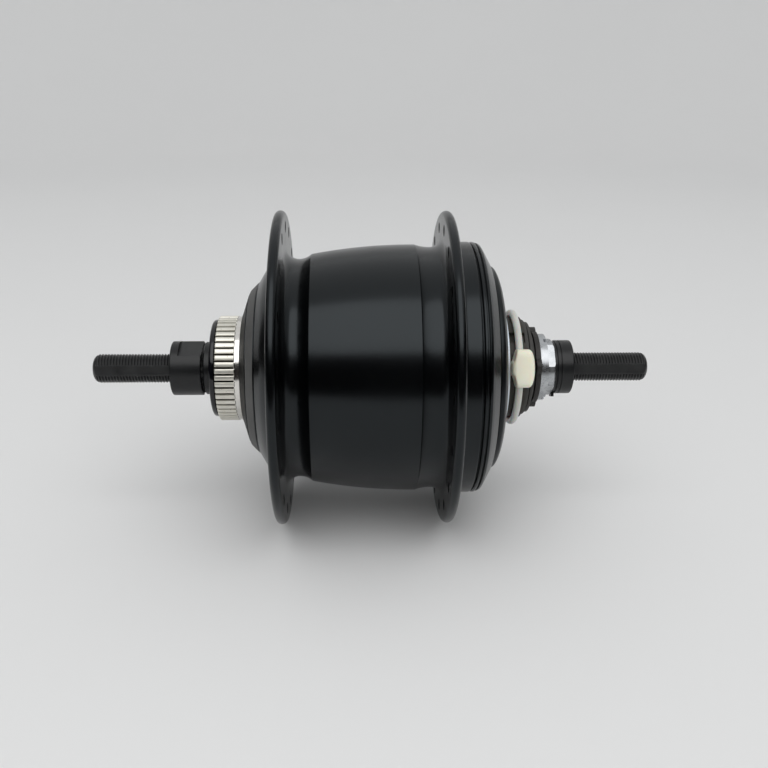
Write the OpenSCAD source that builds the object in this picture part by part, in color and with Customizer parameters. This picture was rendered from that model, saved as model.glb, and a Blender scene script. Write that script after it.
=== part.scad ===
// Eight-speed bicycle hub gear with a disc brake spline, shown in first gear.
// The axle lies along X with the drive side at +X, and Z is up.
// X = 0 is midway between the outer faces of the two locknuts.

/* [Overall] */
// Distance between the outer faces of the locknuts, which is the frame width it fits
over_locknut = 132; // [126:0.5:162]
// Length of the axle from tip to tip
axle_length = 184; // [176:0.5:225]

/* [Axle] */
// Thread diameter of the axle ends
axle_d = 9.52; // [8:0.01:10.2]
// Distance across the two flats on the axle ends
across_flats = 8.85; // [7:0.05:9.2]
// Lean of the flats away from straight fore and aft, in degrees
flat_lean = -9; // [-30:0.5:30]
// Diameter of the plain middle of the axle
core_d = 10.6; // [10.4:0.1:12]
// Radius of the round axle tips
tip_round = 2.4; // [0.6:0.1:3]

/* [Locknuts] */
// Diameter of the two locknuts
nut_d = 17.9; // [16.6:0.1:19]
// Radius of the round outer edges of the locknuts
nut_round = 0.6; // [0.4:0.1:1.6]
// Distance across the wrench flats of the left locknut
wrench_across = 15; // [14:0.1:16.4]
// Diameter of the neck of the left cone
cone_neck_d = 17.4; // [16.4:0.1:18]
// Distance across the four wrench flats of the right cone
cone_across = 17; // [16:0.1:18]
// Thickness of the lock washer under the right locknut
washer_t = 0.9; // [0.7:0.1:1.2]

/* [Shell] */
// Distance of the left flange from the middle of the hub
flange_left = 29.8; // [26:0.1:34]
// Thickness of a spoke flange
flange_t = 3.2; // [2.6:0.1:4]
// Height of the flanges above the right neck
flange_height = 11.7; // [9:0.1:15]
// Number of spoke holes in one flange
spoke_holes = 18; // [14:1:20]
// Angle of the first spoke hole in the left flange, in degrees
first_hole = 2; // [0:0.5:20]
// Diameter of a spoke hole
spoke_hole_d = 2.9; // [2.2:0.1:3.5]
// Distance from the circle of spoke holes to the rim of the flange
spoke_edge = 5.2; // [3.6:0.1:6.2]
// Wall of the shell at its thinnest place, the left neck
neck_wall = 2.4; // [1.6:0.1:3]
// Rise from the left neck to the left edge of the barrel
barrel_step = 1.65; // [1:0.05:3]
// Rise of the barrel from its left edge to its right edge
barrel_rise = 3.1; // [1.5:0.1:4]
// Bulge of the barrel above a straight cone
barrel_crown = 0.8; // [0.2:0.1:1.4]
// Distance of the left edge of the barrel from the middle of the hub
barrel_left = 19.9; // [17:0.1:23]
// Length of the barrel between its two edges
barrel_length = 33.9; // [28:0.1:35]
// Length of the plain shell end outside the right flange
shell_end_length = 6.3; // [5:0.1:9]

/* [Disc mount] */
// Diameter over the teeth of the disc spline
spline_d = 34.7; // [33:0.1:42]
// Number of teeth on the disc spline
spline_teeth = 50; // [40:1:56]
// Depth of the spline teeth
spline_depth = 0.9; // [0.5:0.05:1.2]
// Length of the spline teeth
spline_length = 6; // [5:0.1:7]
// Width of the plain shoulder behind the spline
shoulder_width = 1.9; // [1:0.1:2.6]

/* [Gears] */
// Distance of the middle of the gear train to the left of the middle of the hub
train_offset = 6.85; // [5:0.05:8]
// Module of every gear in the hub
gear_module = 1; // [0.95:0.01:1.06]
// Pressure angle of every gear, in degrees
pressure_angle = 25; // [22:0.5:27]
// Thinning of each tooth, which leaves the play between teeth
tooth_play = 0.16; // [0.1:0.01:0.3]
// Width of a planet step and of the sun that it meets
step_width = 6; // [4.8:0.1:7.2]
// Teeth of the low ring gear
low_ring_teeth = 63; // [63]
// Teeth of the low planet step that meets the ring
low_outer_teeth = 24; // [24]
// Teeth of the low planet step that meets the sun
low_inner_teeth = 12; // [12]
// Teeth of the high ring gear
high_ring_teeth = 54; // [54]
// Teeth of the three high planet steps, from the left
high_step_teeth = [12, 15, 21]; // [12:3:21]
// Distance between an axle and a planet pin, in modules
centre_modules = 19.5; // [19.5]
// Diameter of a planet pin
pin_d = 4.4; // [3.6:0.1:5.3]

/* [Carrier] */
// Thickness of the left carrier plate
left_plate_t = 4.2; // [3.4:0.1:5.2]
// Thickness of the right carrier plate
right_plate_t = 3; // [2.4:0.1:4]
// Diameter of the posts that join the two plates
post_d = 6.8; // [5.4:0.1:8.2]
// Length of a carrier pawl from its pivot to its tip
carrier_pawl_length = 7.4; // [6.6:0.1:7.8]

/* [Shifter] */
// Wall of the shift sleeve around the axle
sleeve_wall = 0.9; // [0.7:0.05:1]
// Turn of the shifter from first to eighth gear, in degrees
shift_range = 84; // [70:1:90]
// Diameter over the body of the shift ring
shift_ring_d = 24.2; // [22.4:0.1:26]
// Height of the lobes on the shift ring
shift_lobe = 1.3; // [0.8:0.1:2]

/* [Bearings] */
// Diameter of the balls on the left
left_ball_d = 5; // [4.1:0.05:5.2]
// Number of balls on the left
left_ball_count = 11; // [8:1:12]
// Diameter of the balls between the driver and the shell
outer_ball_d = 4.76; // [4:0.02:5.2]
// Number of balls between the driver and the shell
outer_ball_count = 22; // [14:1:28]
// Diameter of the balls between the right cone and the driver
inner_ball_d = 4; // [3.4:0.1:4.2]
// Number of balls between the right cone and the driver
inner_ball_count = 12; // [8:1:14]

/* [Clutch] */
// Diameter of a clutch roller
roller_d = 3; // [2.5:0.1:3.6]
// Number of clutch rollers and of ramps on the drum
roller_count = 8; // [6:1:9]

/* [Driver] */
// Diameter of the seat for the sprocket
sprocket_seat_d = 33.7; // [32:0.1:35]
// Diameter of the sprocket stop plate
stop_plate_d = 41; // [38:0.5:44]
// Largest diameter of the driver cap
cap_d = 67.8; // [64:0.2:69]
// Diameter of the cord of the shipping band
band_cord_d = 2.3; // [1.8:0.1:3]
// Height of the knob on the shipping band
knob_height = 12.1; // [9:0.1:15]
// Length of the knob along the axle
knob_length = 7.3; // [6:0.1:8]

/* [Clearances] */
// Gap between pieces that are pressed or clamped together
fit_gap = 0.05; // [0.03:0.01:0.08]
// Gap between pieces that turn past each other
run_gap = 0.15; // [0.15:0.01:0.2]
// Gap between faces that pass each other at a distance
face_gap = 0.5; // [0.4:0.05:0.7]

/* [Hidden] */
$fn = 64;

// Gear sizes
centre = centre_modules * gear_module;
addendum = 0.8 * gear_module;
dedendum = 1.05 * gear_module;
low_sun_teeth = 2 * centre_modules - low_inner_teeth;
planet_bore_r = pin_d / 2 + run_gap;
low_ring_root_r = low_ring_teeth * gear_module / 2 + dedendum;
high_ring_root_r = high_ring_teeth * gear_module / 2 + dedendum;

// Radii from the axle outwards
axle_r = axle_d / 2;
core_r = core_d / 2;
sleeve_in_r = core_r + run_gap;
sleeve_out_r = sleeve_in_r + sleeve_wall;
sun_bore_r = sleeve_out_r + run_gap;
notch_r = sun_bore_r + 0.85;
low_drum_r = low_ring_root_r + 2.05;
high_drum_r = high_ring_root_r + 1.95;
ramp_r = high_ring_root_r + 1.05;
roller_at_r = ramp_r + run_gap + roller_d / 2;
race_in_r = roller_at_r + roller_d / 2 + run_gap;
race_out_r = race_in_r + 1.1;
race_seat_r = race_out_r + fit_gap;
cavity_r = max(low_drum_r + 0.45, race_seat_r + 0.4);

// Shell radii
neck_left_r = race_seat_r + neck_wall;
barrel_left_r = neck_left_r + barrel_step;
barrel_right_r = barrel_left_r + barrel_rise;
neck_right_r = barrel_right_r - 0.8;
shell_end_r = neck_right_r + 1.7;
flange_r = neck_right_r + flange_height;
spoke_circle_r = flange_r - spoke_edge;
cup_seat_r = neck_right_r - 2.3;
spline_r = spline_d / 2;
left_bore_r = spline_r - 0.65;

// Positions along the axle, from the left end of the gear train to the driver
end_play = 0.4;
driver_play = 0.9;
low_ring_width = step_width + 1;
train_length = end_play + left_plate_t + 8 * face_gap + 4 * step_width + low_ring_width
    + right_plate_t + driver_play;
train_x = -train_offset - train_length / 2;
left_plate_x = train_x + end_play;
step_x = [
    left_plate_x + left_plate_t + face_gap,
    left_plate_x + left_plate_t + 2 * face_gap + step_width,
    left_plate_x + left_plate_t + 3 * face_gap + 2 * step_width
];
high_end_x = step_x[2] + step_width;
low_sun_x = high_end_x + 3 * face_gap;
low_ring_x = low_sun_x + step_width + face_gap;
right_plate_x = low_ring_x + low_ring_width + face_gap;
driver_x = right_plate_x + right_plate_t + driver_play;
driver_disc_t = 3.2;
cup_seat_x = driver_x + driver_disc_t + 2.3;
outer_ball_x = cup_seat_x + 6.5;
shell_right = outer_ball_x + 4.5;
flange_right = shell_right - shell_end_length - flange_t / 2;
cap_x = shell_right + 6.3;
cap_length = 3.75;
plate_x = cap_x + cap_length + fit_gap;
plate_t = 1.3;
seat_x = plate_x + plate_t;
seat_length = 5.8;
seal_x = seat_x + seat_length;
ridge_pitch = 1.3;
ridge_radii = [16.1, 15.4, 13.5];
seal_length = 3 * ridge_pitch;
shift_x = seal_x + seal_length + 0.25;
shift_t = 1.6;
collar_x = shift_x + shift_t + 0.25;
collar_length = 2.4;
stem_length = 2.7;
cone_end_x = collar_x + collar_length + stem_length;
right_nut_x = cone_end_x + washer_t;
inner_ball_x = plate_x - 3;
core_end_x = collar_x + 0.15;

// Positions on the left side
race_wall_x = train_x - 0.6;
shell_left = race_wall_x - 13.2;
left_ball_x = shell_left + 4.9;
core_start_x = left_ball_x + 2.7;
spline_x = shell_left - shoulder_width;
spline_end_x = spline_x - spline_length;
cap_left_x = spline_end_x - 0.35;
cap_left_t = 1.7;
washer_left_x = cap_left_x - cap_left_t - 2.9;
left_nut_x = washer_left_x - 0.65;

// Ball bearings: groove clearance and circles of the ball centres
groove_gap = run_gap;
left_ball_r = left_ball_d / 2;
left_ball_at = 12.2;
outer_ball_r = outer_ball_d / 2;
outer_ball_at = cup_seat_r - 6.2;
inner_ball_r = inner_ball_d / 2;
inner_ball_at = 12;
cone_tube_r = 9;
cone_bore_r = sleeve_out_r + 0.25;
cone_stem_r = 9.4;
collar_r = 11.1;
driver_bore_r = 13;
driver_neck_r = sprocket_seat_d / 2 + 3.15;

// Locknuts, washers and the left cap
edge = 0.4;
nut_r = nut_d / 2;
cone_neck_r = cone_neck_d / 2;
thread_r = axle_r + fit_gap;
cap_left_r = spline_r - 1.3;
ring_bore_r = spline_r - 2.8;
nut_lean = 101;
nut_face_width = 2.6;

// Sun pawls in their seats in the axle
pawl_side_gap = 0.3;
pawl_width = step_width - 4 * pawl_side_gap;
pawl_thick = 1.2;
pawl_seat_z = 2.2;
pawl_heel = [-2.9, 3.5];
pawl_length = sun_bore_r - 0.5;
pawl_out_angle = 29;
pawl_in_angle = -5;
pawl_x = [step_x[0], step_x[1], step_x[2], low_sun_x];

// Circlip beside the left carrier plate
clip_x = left_plate_x - 1.5;
clip_t = 1;
clip_depth = 0.7;

// Carrier pawls in pockets on the rim of the left plate, and the ratchet around them
carrier_rim_r = high_ring_root_r - 2.3;
carrier_pawl_first = 30;
carrier_pawl_thick = 2;
carrier_pawl_rest = 96;
carrier_heel = [carrier_rim_r - 1.8, 0];
pin_wall = 0.5;
ratchet_r = carrier_rim_r + 0.5;
ratchet_depth = 1.7;
ratchet_turn = 4;

// Shifter pieces, driver dogs and the tabs of the sprocket
spring_x = inner_ball_x - 10.2;
lug_w = 3;
lobe_first = 70;
dog_count = 6;
dog_w = 8;
tab_first = 6;
tab_w = 4;
tab_depth = 1.6;

// Turns points given as [position along X, radius] into [radius, position]
function flip(outline) = [for (p = outline) [p[1], p[0]]];

// Point at a radius and an angle
function polar(r, a) = [r * cos(a), r * sin(a)];

// Involute of an angle, in degrees
function involute(a) = tan(a) * 180 / PI - a;

function pitch_r(teeth) = teeth * gear_module / 2;

function base_r(teeth) = pitch_r(teeth) * cos(pressure_angle);

// Half the angle that a tooth spans at a radius
function half_tooth(teeth, r, play) =
    90 / teeth + involute(pressure_angle)
    - involute(acos(base_r(teeth) / max(r, base_r(teeth))))
    - play * 90 / (PI * pitch_r(teeth));

// Outline of all teeth between two radii, with a tooth centred on the first angle
function gear_outline(teeth, low_r, high_r, play, first) = [
    for (k = [0:teeth - 1])
        for (side = [-1, 1])
            for (i = [0:3])
                let (
                    f = side < 0 ? i / 3 : 1 - i / 3,
                    r = low_r + (high_r - low_r) * f,
                    a = first + k * 360 / teeth + side * half_tooth(teeth, r, play)
                )
                polar(r, a)
];

// Outline points along an arc
function arc(middle, r, from, to, steps) = [
    for (i = [0:steps])
        middle + polar(r, from + (to - from) * i / steps)
];

// Outline points of a round outer edge at the end of a turned piece, side -1 for a left end
function round_edge(x, r, size, side) = [
    for (i = [0:5])
        let (a = side < 0 ? i * 18 : 90 - i * 18)
        [x - side * size * (1 - cos(a)), r - size * (1 - sin(a))]
];

// Lays a shape drawn in XY across the axle, so that its height runs along +X
module on_axle() {
    rotate([90, 0, 90])
        children();
}

// Extrudes a shape along the axle
module slice(x, length) {
    translate([x, 0, 0])
        on_axle()
            linear_extrude(length)
                children();
}

// Turns an outline given as [position along X, radius] around the axle
module turned(outline) {
    on_axle()
        rotate_extrude()
            polygon(flip(outline));
}

module tube(x0, x1, in_r, out_r) {
    turned([[x0, in_r], [x1, in_r], [x1, out_r], [x0, out_r]]);
}

// Repeats a shape around the axle
module around(count, first = 0) {
    for (i = [0:count - 1])
        rotate([first + i * 360 / count, 0, 0])
            children();
}

// Fills the corner between a cylinder and a face with a hollow curve
module corner_fill(x, r, size, side) {
    sink = 0.5;
    translate([r, x])
        difference() {
            translate([-sink, side > 0 ? -sink : -size])
                square(size + sink);
            translate([size, side * size])
                circle(size);
        }
}

// Ring that balls run in, cut out of a bearing piece
module ball_groove(x, at, ball_r) {
    on_axle()
        rotate_extrude()
            translate([at, x])
                circle(ball_r + groove_gap);
}

module ball_row(x, at, ball_r, count) {
    around(count)
        translate([x, at, 0])
            sphere(ball_r);
}

module ball_cage(x, at, ball_r, count) {
    wall = 0.9;
    difference() {
        tube(x - ball_r * 0.6, x + ball_r + wall, at - wall / 2, at + wall / 2);
        around(count)
            translate([x, at - wall, 0])
                rotate([-90, 0, 0])
                    cylinder(h = 2 * wall, r = ball_r + fit_gap);
    }
}

// Cylinder sector seen along the axle, for windows and slots
module sector(x, length, r, from, to) {
    steps = ceil((to - from) / 30);
    slice(x, length)
        polygon(concat(
            [[0, 0]],
            [for (i = [0:steps]) polar(r, from + (to - from) * i / steps)]
        ));
}

// Gear with teeth on the outside and a tooth centred on the first angle
module toothed_wheel(x, length, teeth, first) {
    slice(x, length)
        polygon(gear_outline(
            teeth, pitch_r(teeth) - dedendum, pitch_r(teeth) + addendum, tooth_play, first
        ));
}

// Room inside a ring gear, with a tooth gap centred on angle zero
module ring_gear_room(x, length, teeth) {
    slice(x, length)
        polygon(gear_outline(
            teeth, pitch_r(teeth) - addendum, pitch_r(teeth) + dedendum, -tooth_play, 0
        ));
}

// Ratchet bore of a sun: a round hole with notches for a pawl
module sun_bore(x, length) {
    notches = 6;
    notch_first = 62;
    notch_span = 22;
    tube(x - 1, x + length + 1, 0, sun_bore_r);
    around(notches, notch_first)
        difference() {
            sector(x - 1, length + 2, notch_r, 0, notch_span);
            tube(x - 2, x + length + 2, 0, sun_bore_r - edge);
        }
}

module sun(x, length, teeth) {
    difference() {
        toothed_wheel(x, length, teeth, 180 / teeth);
        sun_bore(x, length);
    }
}

// Pawl that swings on a round heel, drawn with its arm along +X
module pawl_shape(length, thick) {
    circle(thick * 0.55);
    polygon([
        [0, -thick * 0.55],
        [length, -thick / 2],
        [length, thick / 2],
        [0, thick * 0.55]
    ]);
}

// The axle: plain middle, thinner ends with two flats, pawl seats and a clip groove
module axle() {
    color("#2b2d2f")
    difference() {
        turned(concat(
            [[-axle_length / 2, 0]],
            round_edge(-axle_length / 2, axle_r, tip_round, -1),
            [
                [core_start_x, axle_r],
                [core_start_x, core_r],
                [core_end_x, core_r],
                [core_end_x, axle_r]
            ],
            round_edge(axle_length / 2, axle_r, tip_round, 1),
            [[axle_length / 2, 0]]
        ));
        for (end = [0, 1])
            mirror([end, 0, 0])
                for (side = [0, 180])
                    rotate([flat_lean + side, 0, 0])
                        translate([over_locknut / 2 + edge, across_flats / 2, -axle_d])
                            cube([axle_length, axle_d, 2 * axle_d]);
        for (x = pawl_x)
            translate([x + pawl_side_gap, -core_d, pawl_seat_z])
                cube([pawl_width + 2 * pawl_side_gap, 2 * core_d, core_d]);
        tube(clip_x - fit_gap, clip_x + clip_t + fit_gap, core_r - clip_depth, core_r + 2);
    }
}

module axle_circlip() {
    color("#8c9092")
    difference() {
        tube(clip_x, clip_x + clip_t, core_r - clip_depth + fit_gap, core_r + 1.9);
        sector(clip_x - 1, clip_t + 2, core_r + 4, 240, 300);
    }
}

// One pawl for each sun: the low one stands out, the others lie under the sleeve
module sun_pawls() {
    color("#9a9ea1")
    for (i = [0:3])
        slice(pawl_x[i] + 2 * pawl_side_gap, pawl_width)
            translate(pawl_heel)
                rotate(i == 3 ? pawl_out_angle : pawl_in_angle)
                    pawl_shape(pawl_length, pawl_thick);
}

module low_sun_gear() {
    color("#8f9396")
    sun(low_sun_x, step_width, low_sun_teeth);
}

// Left cone: threaded tube with the inner ball race
module left_cone() {
    race_r = left_ball_at - 1.3;
    color("#6f7375")
    difference() {
        turned([
            [washer_left_x, thread_r],
            [core_start_x, thread_r],
            [core_start_x, race_r],
            [left_ball_x - 3.6, race_r],
            [left_ball_x - 4.4, cone_neck_r],
            [washer_left_x + edge, cone_neck_r],
            [washer_left_x, cone_neck_r - edge]
        ]);
        ball_groove(left_ball_x, left_ball_at, left_ball_r);
    }
}

// Glossy cap that covers the left bearing, with a round rim and a lip inside the spline ring
module left_dust_cap() {
    face_x = cap_left_x - cap_left_t;
    lip_length = 2.2;
    lip_in_r = ring_bore_r - 1.6;
    lip_out_r = ring_bore_r - 0.5;
    color("#17181a")
    turned(concat(
        [[face_x, cone_neck_r + fit_gap]],
        round_edge(face_x, cap_left_r, 1.2, -1),
        [
            [cap_left_x, cap_left_r],
            [cap_left_x, lip_out_r],
            [cap_left_x + lip_length, lip_out_r],
            [cap_left_x + lip_length, lip_in_r],
            [cap_left_x, lip_in_r],
            [cap_left_x, cone_neck_r + fit_gap]
        ]
    ));
}

// Toothed washer under the left locknut
module left_washer() {
    teeth = 24;
    tip_r = nut_r - 0.8;
    root_r = nut_r - 1.4;
    color("#232527")
    difference() {
        slice(left_nut_x, washer_left_x - left_nut_x)
            polygon([
                for (i = [0:teeth - 1])
                    for (p = [[0, tip_r], [0.5, root_r]])
                        polar(p[1], (i + p[0]) * 360 / teeth)
            ]);
        tube(left_nut_x - 1, washer_left_x + 1, 0, thread_r);
    }
}

// Left locknut: round, with a round outer edge and two wrench flats
module left_locknut() {
    face_x = -over_locknut / 2;
    color("#303234")
    difference() {
        turned(concat(
            [[face_x, thread_r]],
            round_edge(face_x, nut_r, nut_round, -1),
            [
                [left_nut_x - edge, nut_r],
                [left_nut_x, nut_r - edge],
                [left_nut_x, thread_r]
            ]
        ));
        for (side = [0, 180])
            rotate([nut_lean + side, 0, 0])
                translate([face_x + nut_face_width, wrench_across / 2, -nut_d])
                    cube([left_nut_x - face_x, nut_d, 2 * nut_d]);
    }
}

// Right cone: inner race, tube around the sleeve, shifter collar and wrench flats
module right_cone() {
    race_r = inner_ball_at - 1.2;
    notch_w = 1.6;
    notch_first = 109;
    notch_length = 0.4 * collar_length;
    slot_room = 20;
    color("#b9bdbf")
    difference() {
        turned([
            [inner_ball_x - 4.2, cone_bore_r],
            [core_end_x, cone_bore_r],
            [core_end_x, thread_r],
            [cone_end_x, thread_r],
            [cone_end_x, cone_stem_r - edge],
            [cone_end_x - edge, cone_stem_r],
            [collar_x + collar_length, cone_stem_r],
            [collar_x + collar_length, collar_r],
            [collar_x, collar_r],
            [collar_x, cone_tube_r],
            [inner_ball_x + 3.4, cone_tube_r],
            [inner_ball_x + 2.8, race_r],
            [inner_ball_x - 4.2, race_r]
        ]);
        ball_groove(inner_ball_x, inner_ball_at, inner_ball_r);
        for (a = [0, 180])
            sector(
                shift_x - 0.2, shift_t + 0.4, collar_r + 3,
                a - slot_room, a + shift_range + slot_room
            );
        around(4, 45)
            translate([collar_x + collar_length, cone_across / 2, -collar_r])
                cube([cone_end_x - collar_x, collar_r, 2 * collar_r]);
        around(3, notch_first)
            translate([collar_x + collar_length - notch_length, collar_r - 1, -notch_w / 2])
                cube([collar_length, 2, notch_w]);
    }
}

// Lock washer with a bent tab that points down
module right_lock_washer() {
    tab_w = 3.2;
    tab_at = 250;
    tab_rise = 1;
    color("#2e3032")
    union() {
        tube(cone_end_x, right_nut_x, thread_r, nut_r - edge);
        rotate([tab_at, 0, 0])
            translate([cone_end_x, nut_r - 3, -tab_w / 2])
                cube([washer_t, tab_rise + 3, tab_w]);
    }
}

// Right locknut: round, with a narrow groove beside the lock washer
module right_locknut() {
    face_x = over_locknut / 2;
    groove_x = right_nut_x + 1.1;
    groove_w = 0.3;
    color("#303234")
    turned(concat(
        [
            [right_nut_x, thread_r],
            [right_nut_x, nut_r - edge],
            [right_nut_x + edge, nut_r],
            [groove_x, nut_r],
            [groove_x, nut_r - groove_w],
            [groove_x + groove_w, nut_r - groove_w],
            [groove_x + groove_w, nut_r]
        ],
        round_edge(face_x, nut_r, nut_round, 1),
        [[face_x, thread_r]]
    ));
}

// Flat spiral spring that turns the sleeve back to first gear
module shift_return_spring() {
    turns = 2.5;
    first_r = sleeve_out_r + 0.5;
    pitch = 0.75;
    strip = 0.3;
    steps = 60;
    color("#a9aeb1")
    slice(spring_x, 5)
        polygon(concat(
            [for (i = [0:steps])
                polar(first_r + pitch * turns * i / steps, 360 * turns * i / steps)],
            [for (i = [steps:-1:0])
                polar(first_r + strip + pitch * turns * i / steps, 360 * turns * i / steps)]
        ));
}

// Shift sleeve: a long tube with one window over each sun pawl
module shift_sleeve() {
    cut_r = 2 * sleeve_out_r;
    rib = 0.4;
    low_window = [58 - shift_range, 110];
    high_window = [150, 200];
    window_shift = 25;
    lug_gap = 0.1;
    color("#a3a7aa")
    difference() {
        tube(step_x[0], shift_x + shift_t - lug_gap, sleeve_in_r, sleeve_out_r);
        sector(low_sun_x + rib / 2, step_width - rib, cut_r, low_window[0], low_window[1]);
        for (i = [0:2])
            sector(
                step_x[i] + rib, step_width - 2 * rib, cut_r,
                high_window[0] + i * window_shift, high_window[1] + i * window_shift
            );
        for (a = [0, 180])
            rotate([a, 0, 0])
                translate([shift_x - lug_gap, 0, -lug_w / 2 - lug_gap])
                    cube([shift_t + 1, cut_r, lug_w + 2 * lug_gap]);
    }
}

// Shift ring at the right end: lobes for the shifter and two lugs into the sleeve
module shift_ring() {
    lobe_r = 1.6 + shift_lobe;
    color("#3a3431")
    slice(shift_x, shift_t) {
        difference() {
            union() {
                circle(shift_ring_d / 2);
                for (i = [0:3])
                    rotate(lobe_first + i * 90)
                        translate([shift_ring_d / 2 + shift_lobe - lobe_r, 0])
                            circle(lobe_r);
            }
            circle(cone_tube_r + 0.3);
        }
        for (a = [0, 180])
            rotate(a)
                translate([sleeve_in_r + 0.2, -lug_w / 2])
                    square([cone_tube_r + 0.8 - sleeve_in_r, lug_w]);
    }
}

// Driver: disc with dogs, ball shoulder, neck, sprocket seat with three notches
module driver() {
    dog_r = low_drum_r - 0.2;
    color("#4a4d50")
    difference() {
        union() {
            difference() {
                turned([
                    [driver_x, driver_bore_r],
                    [driver_x, low_ring_root_r - 0.25],
                    [driver_x + driver_disc_t, low_ring_root_r - 0.25],
                    [driver_x + driver_disc_t, outer_ball_at - 5.4],
                    [outer_ball_x - 3.5, outer_ball_at - 5.4],
                    [outer_ball_x - 3.5, outer_ball_at - 1.2],
                    [outer_ball_x + 3.5, outer_ball_at - 1.2],
                    [outer_ball_x + 3.5, outer_ball_at - 4],
                    [outer_ball_x + 7, driver_neck_r],
                    [plate_x, driver_neck_r],
                    [plate_x, sprocket_seat_d / 2],
                    [seal_x, sprocket_seat_d / 2],
                    [seal_x, inner_ball_at + 1.2],
                    [inner_ball_x - 3, inner_ball_at + 1.2],
                    [inner_ball_x - 4, driver_bore_r]
                ]);
                ball_groove(outer_ball_x, outer_ball_at, outer_ball_r);
                ball_groove(inner_ball_x, inner_ball_at, inner_ball_r);
            }
            around(dog_count)
                translate([driver_x, driver_neck_r, -dog_w / 2])
                    cube([driver_disc_t, dog_r - driver_neck_r, dog_w]);
        }
        around(3, tab_first)
            translate([seat_x + edge, sprocket_seat_d / 2 - tab_depth, -tab_w / 2])
                cube([seal_x, 4 * tab_depth, tab_w]);
        around(dog_count, 180 / dog_count)
            translate([driver_x - 1, driver_neck_r + 3, 0])
                on_axle()
                    cylinder(h = driver_disc_t + 2, r = 3.2);
    }
}

// Domed cap over the right bearing, drawn as drops below its rim along its length
module driver_cap() {
    rim_r = cap_d / 2;
    wall = 2;
    in_r = driver_neck_r + fit_gap;
    dome = [[0, 0], [1.5, 0.3], [2.2, 1.5], [2.9, 2.9], [3.3, 4.9], [3.6, 8.6], [cap_length, 12]];
    color("#1b1c1e")
    turned(concat(
        [[cap_x, rim_r - wall]],
        [for (p = dome) [cap_x + p[0], rim_r - p[1]]],
        [
            [cap_x + cap_length, in_r],
            [cap_x + cap_length - wall, in_r],
            [cap_x + cap_length - wall, rim_r - 4 * wall],
            [cap_x + wall / 2, rim_r - 2 * wall]
        ]
    ));
}

module sprocket_stop_plate() {
    color("#b4bfc8")
    turned([
        [plate_x, sprocket_seat_d / 2 + fit_gap],
        [seat_x, sprocket_seat_d / 2 + fit_gap],
        [seat_x, stop_plate_d / 2 - 0.3],
        [seat_x - 0.3, stop_plate_d / 2],
        [plate_x + 0.1, stop_plate_d / 2],
        [plate_x, stop_plate_d / 2 - 0.2]
    ]);
}

// Rubber seal at the end of the driver, with three ridges that step down outwards
module driver_end_seal() {
    in_r = cone_tube_r + 0.4;
    groove_w = 0.35;
    groove_depth = 0.6;
    color("#2a2b2c")
    turned(concat(
        [
            [seal_x + fit_gap, in_r],
            [seal_x + fit_gap, ridge_radii[0]]
        ],
        [for (i = [1:2])
            let (x = seal_x + i * ridge_pitch, low_r = ridge_radii[i] - groove_depth)
            for (p = [
                [x, ridge_radii[i - 1]],
                [x, low_r],
                [x + groove_w, low_r],
                [x + groove_w, ridge_radii[i]]
            ])
                p],
        [
            [seal_x + seal_length, ridge_radii[2]],
            [seal_x + seal_length, in_r]
        ]
    ));
}

// Shipping band: a plastic cord around the sprocket seat with a drum-shaped knob at the front
module shipping_band() {
    seat_r = sprocket_seat_d / 2 + 0.12;
    band_x = seat_x + 3.4;
    knob_at = 160;
    knob_x = seat_x + 0.2;
    knob_end = knob_x + knob_length;
    knob_r = seat_r + 6.2;
    knob_round = 1.2;
    flare = 1.5;
    half = knob_height / 2;
    neck_half = 0.45 * half;
    side = concat(
        [[knob_x - 1, neck_half], [knob_x, neck_half]],
        arc([knob_x, half - flare], flare, -30, 0, 2),
        arc([knob_x + flare + knob_round, half - knob_round], knob_round, 180, 90, 4),
        arc([knob_end - knob_round, half - knob_round], knob_round, 90, 0, 4)
    );
    color("#e8e6cc")
    difference() {
        union() {
            on_axle()
                rotate_extrude()
                    translate([seat_r + band_cord_d / 2, band_x])
                        circle(band_cord_d / 2);
            intersection() {
                turned(concat(
                    [[knob_x, seat_r]],
                    round_edge(knob_x, knob_r, knob_round, -1),
                    round_edge(knob_end, knob_r, knob_round, 1),
                    [[knob_end, seat_r]]
                ));
                rotate([knob_at, 0, 0])
                    rotate([-90, 0, 0])
                        linear_extrude(2 * knob_r)
                            polygon(concat(
                                side,
                                [for (i = [len(side) - 1:-1:0]) [side[i][0], -side[i][1]]]
                            ));
            }
        }
        tube(seat_x, seal_x + seal_length, 0, seat_r);
    }
}

// Low ring gear: toothed drum with six slots for the dogs of the driver
module low_ring_gear() {
    color("#8a8e91")
    difference() {
        tube(low_ring_x - 0.2, driver_x + driver_disc_t, 1, low_drum_r);
        ring_gear_room(low_ring_x - 1, low_ring_width + 1.2, low_ring_teeth);
        tube(low_ring_x + low_ring_width, driver_x + 10, 0, low_ring_root_r + 0.2);
        around(dog_count)
            translate([driver_x - run_gap, driver_neck_r, -dog_w / 2 - run_gap])
                cube([2 * driver_disc_t, low_drum_r, dog_w + 2 * run_gap]);
    }
}

// Ring that can join the driver to the carrier for the four upper gears
module direct_clutch_ring() {
    slot_w = 3;
    color("#9a9ea1")
    difference() {
        tube(driver_x + 0.2, driver_x + 6, cone_tube_r + 0.2, driver_bore_r - fit_gap);
        around(6)
            translate([driver_x - 1, driver_bore_r - 2.4, -slot_w / 2])
                cube([2.4, 4, slot_w]);
    }
}

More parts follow.
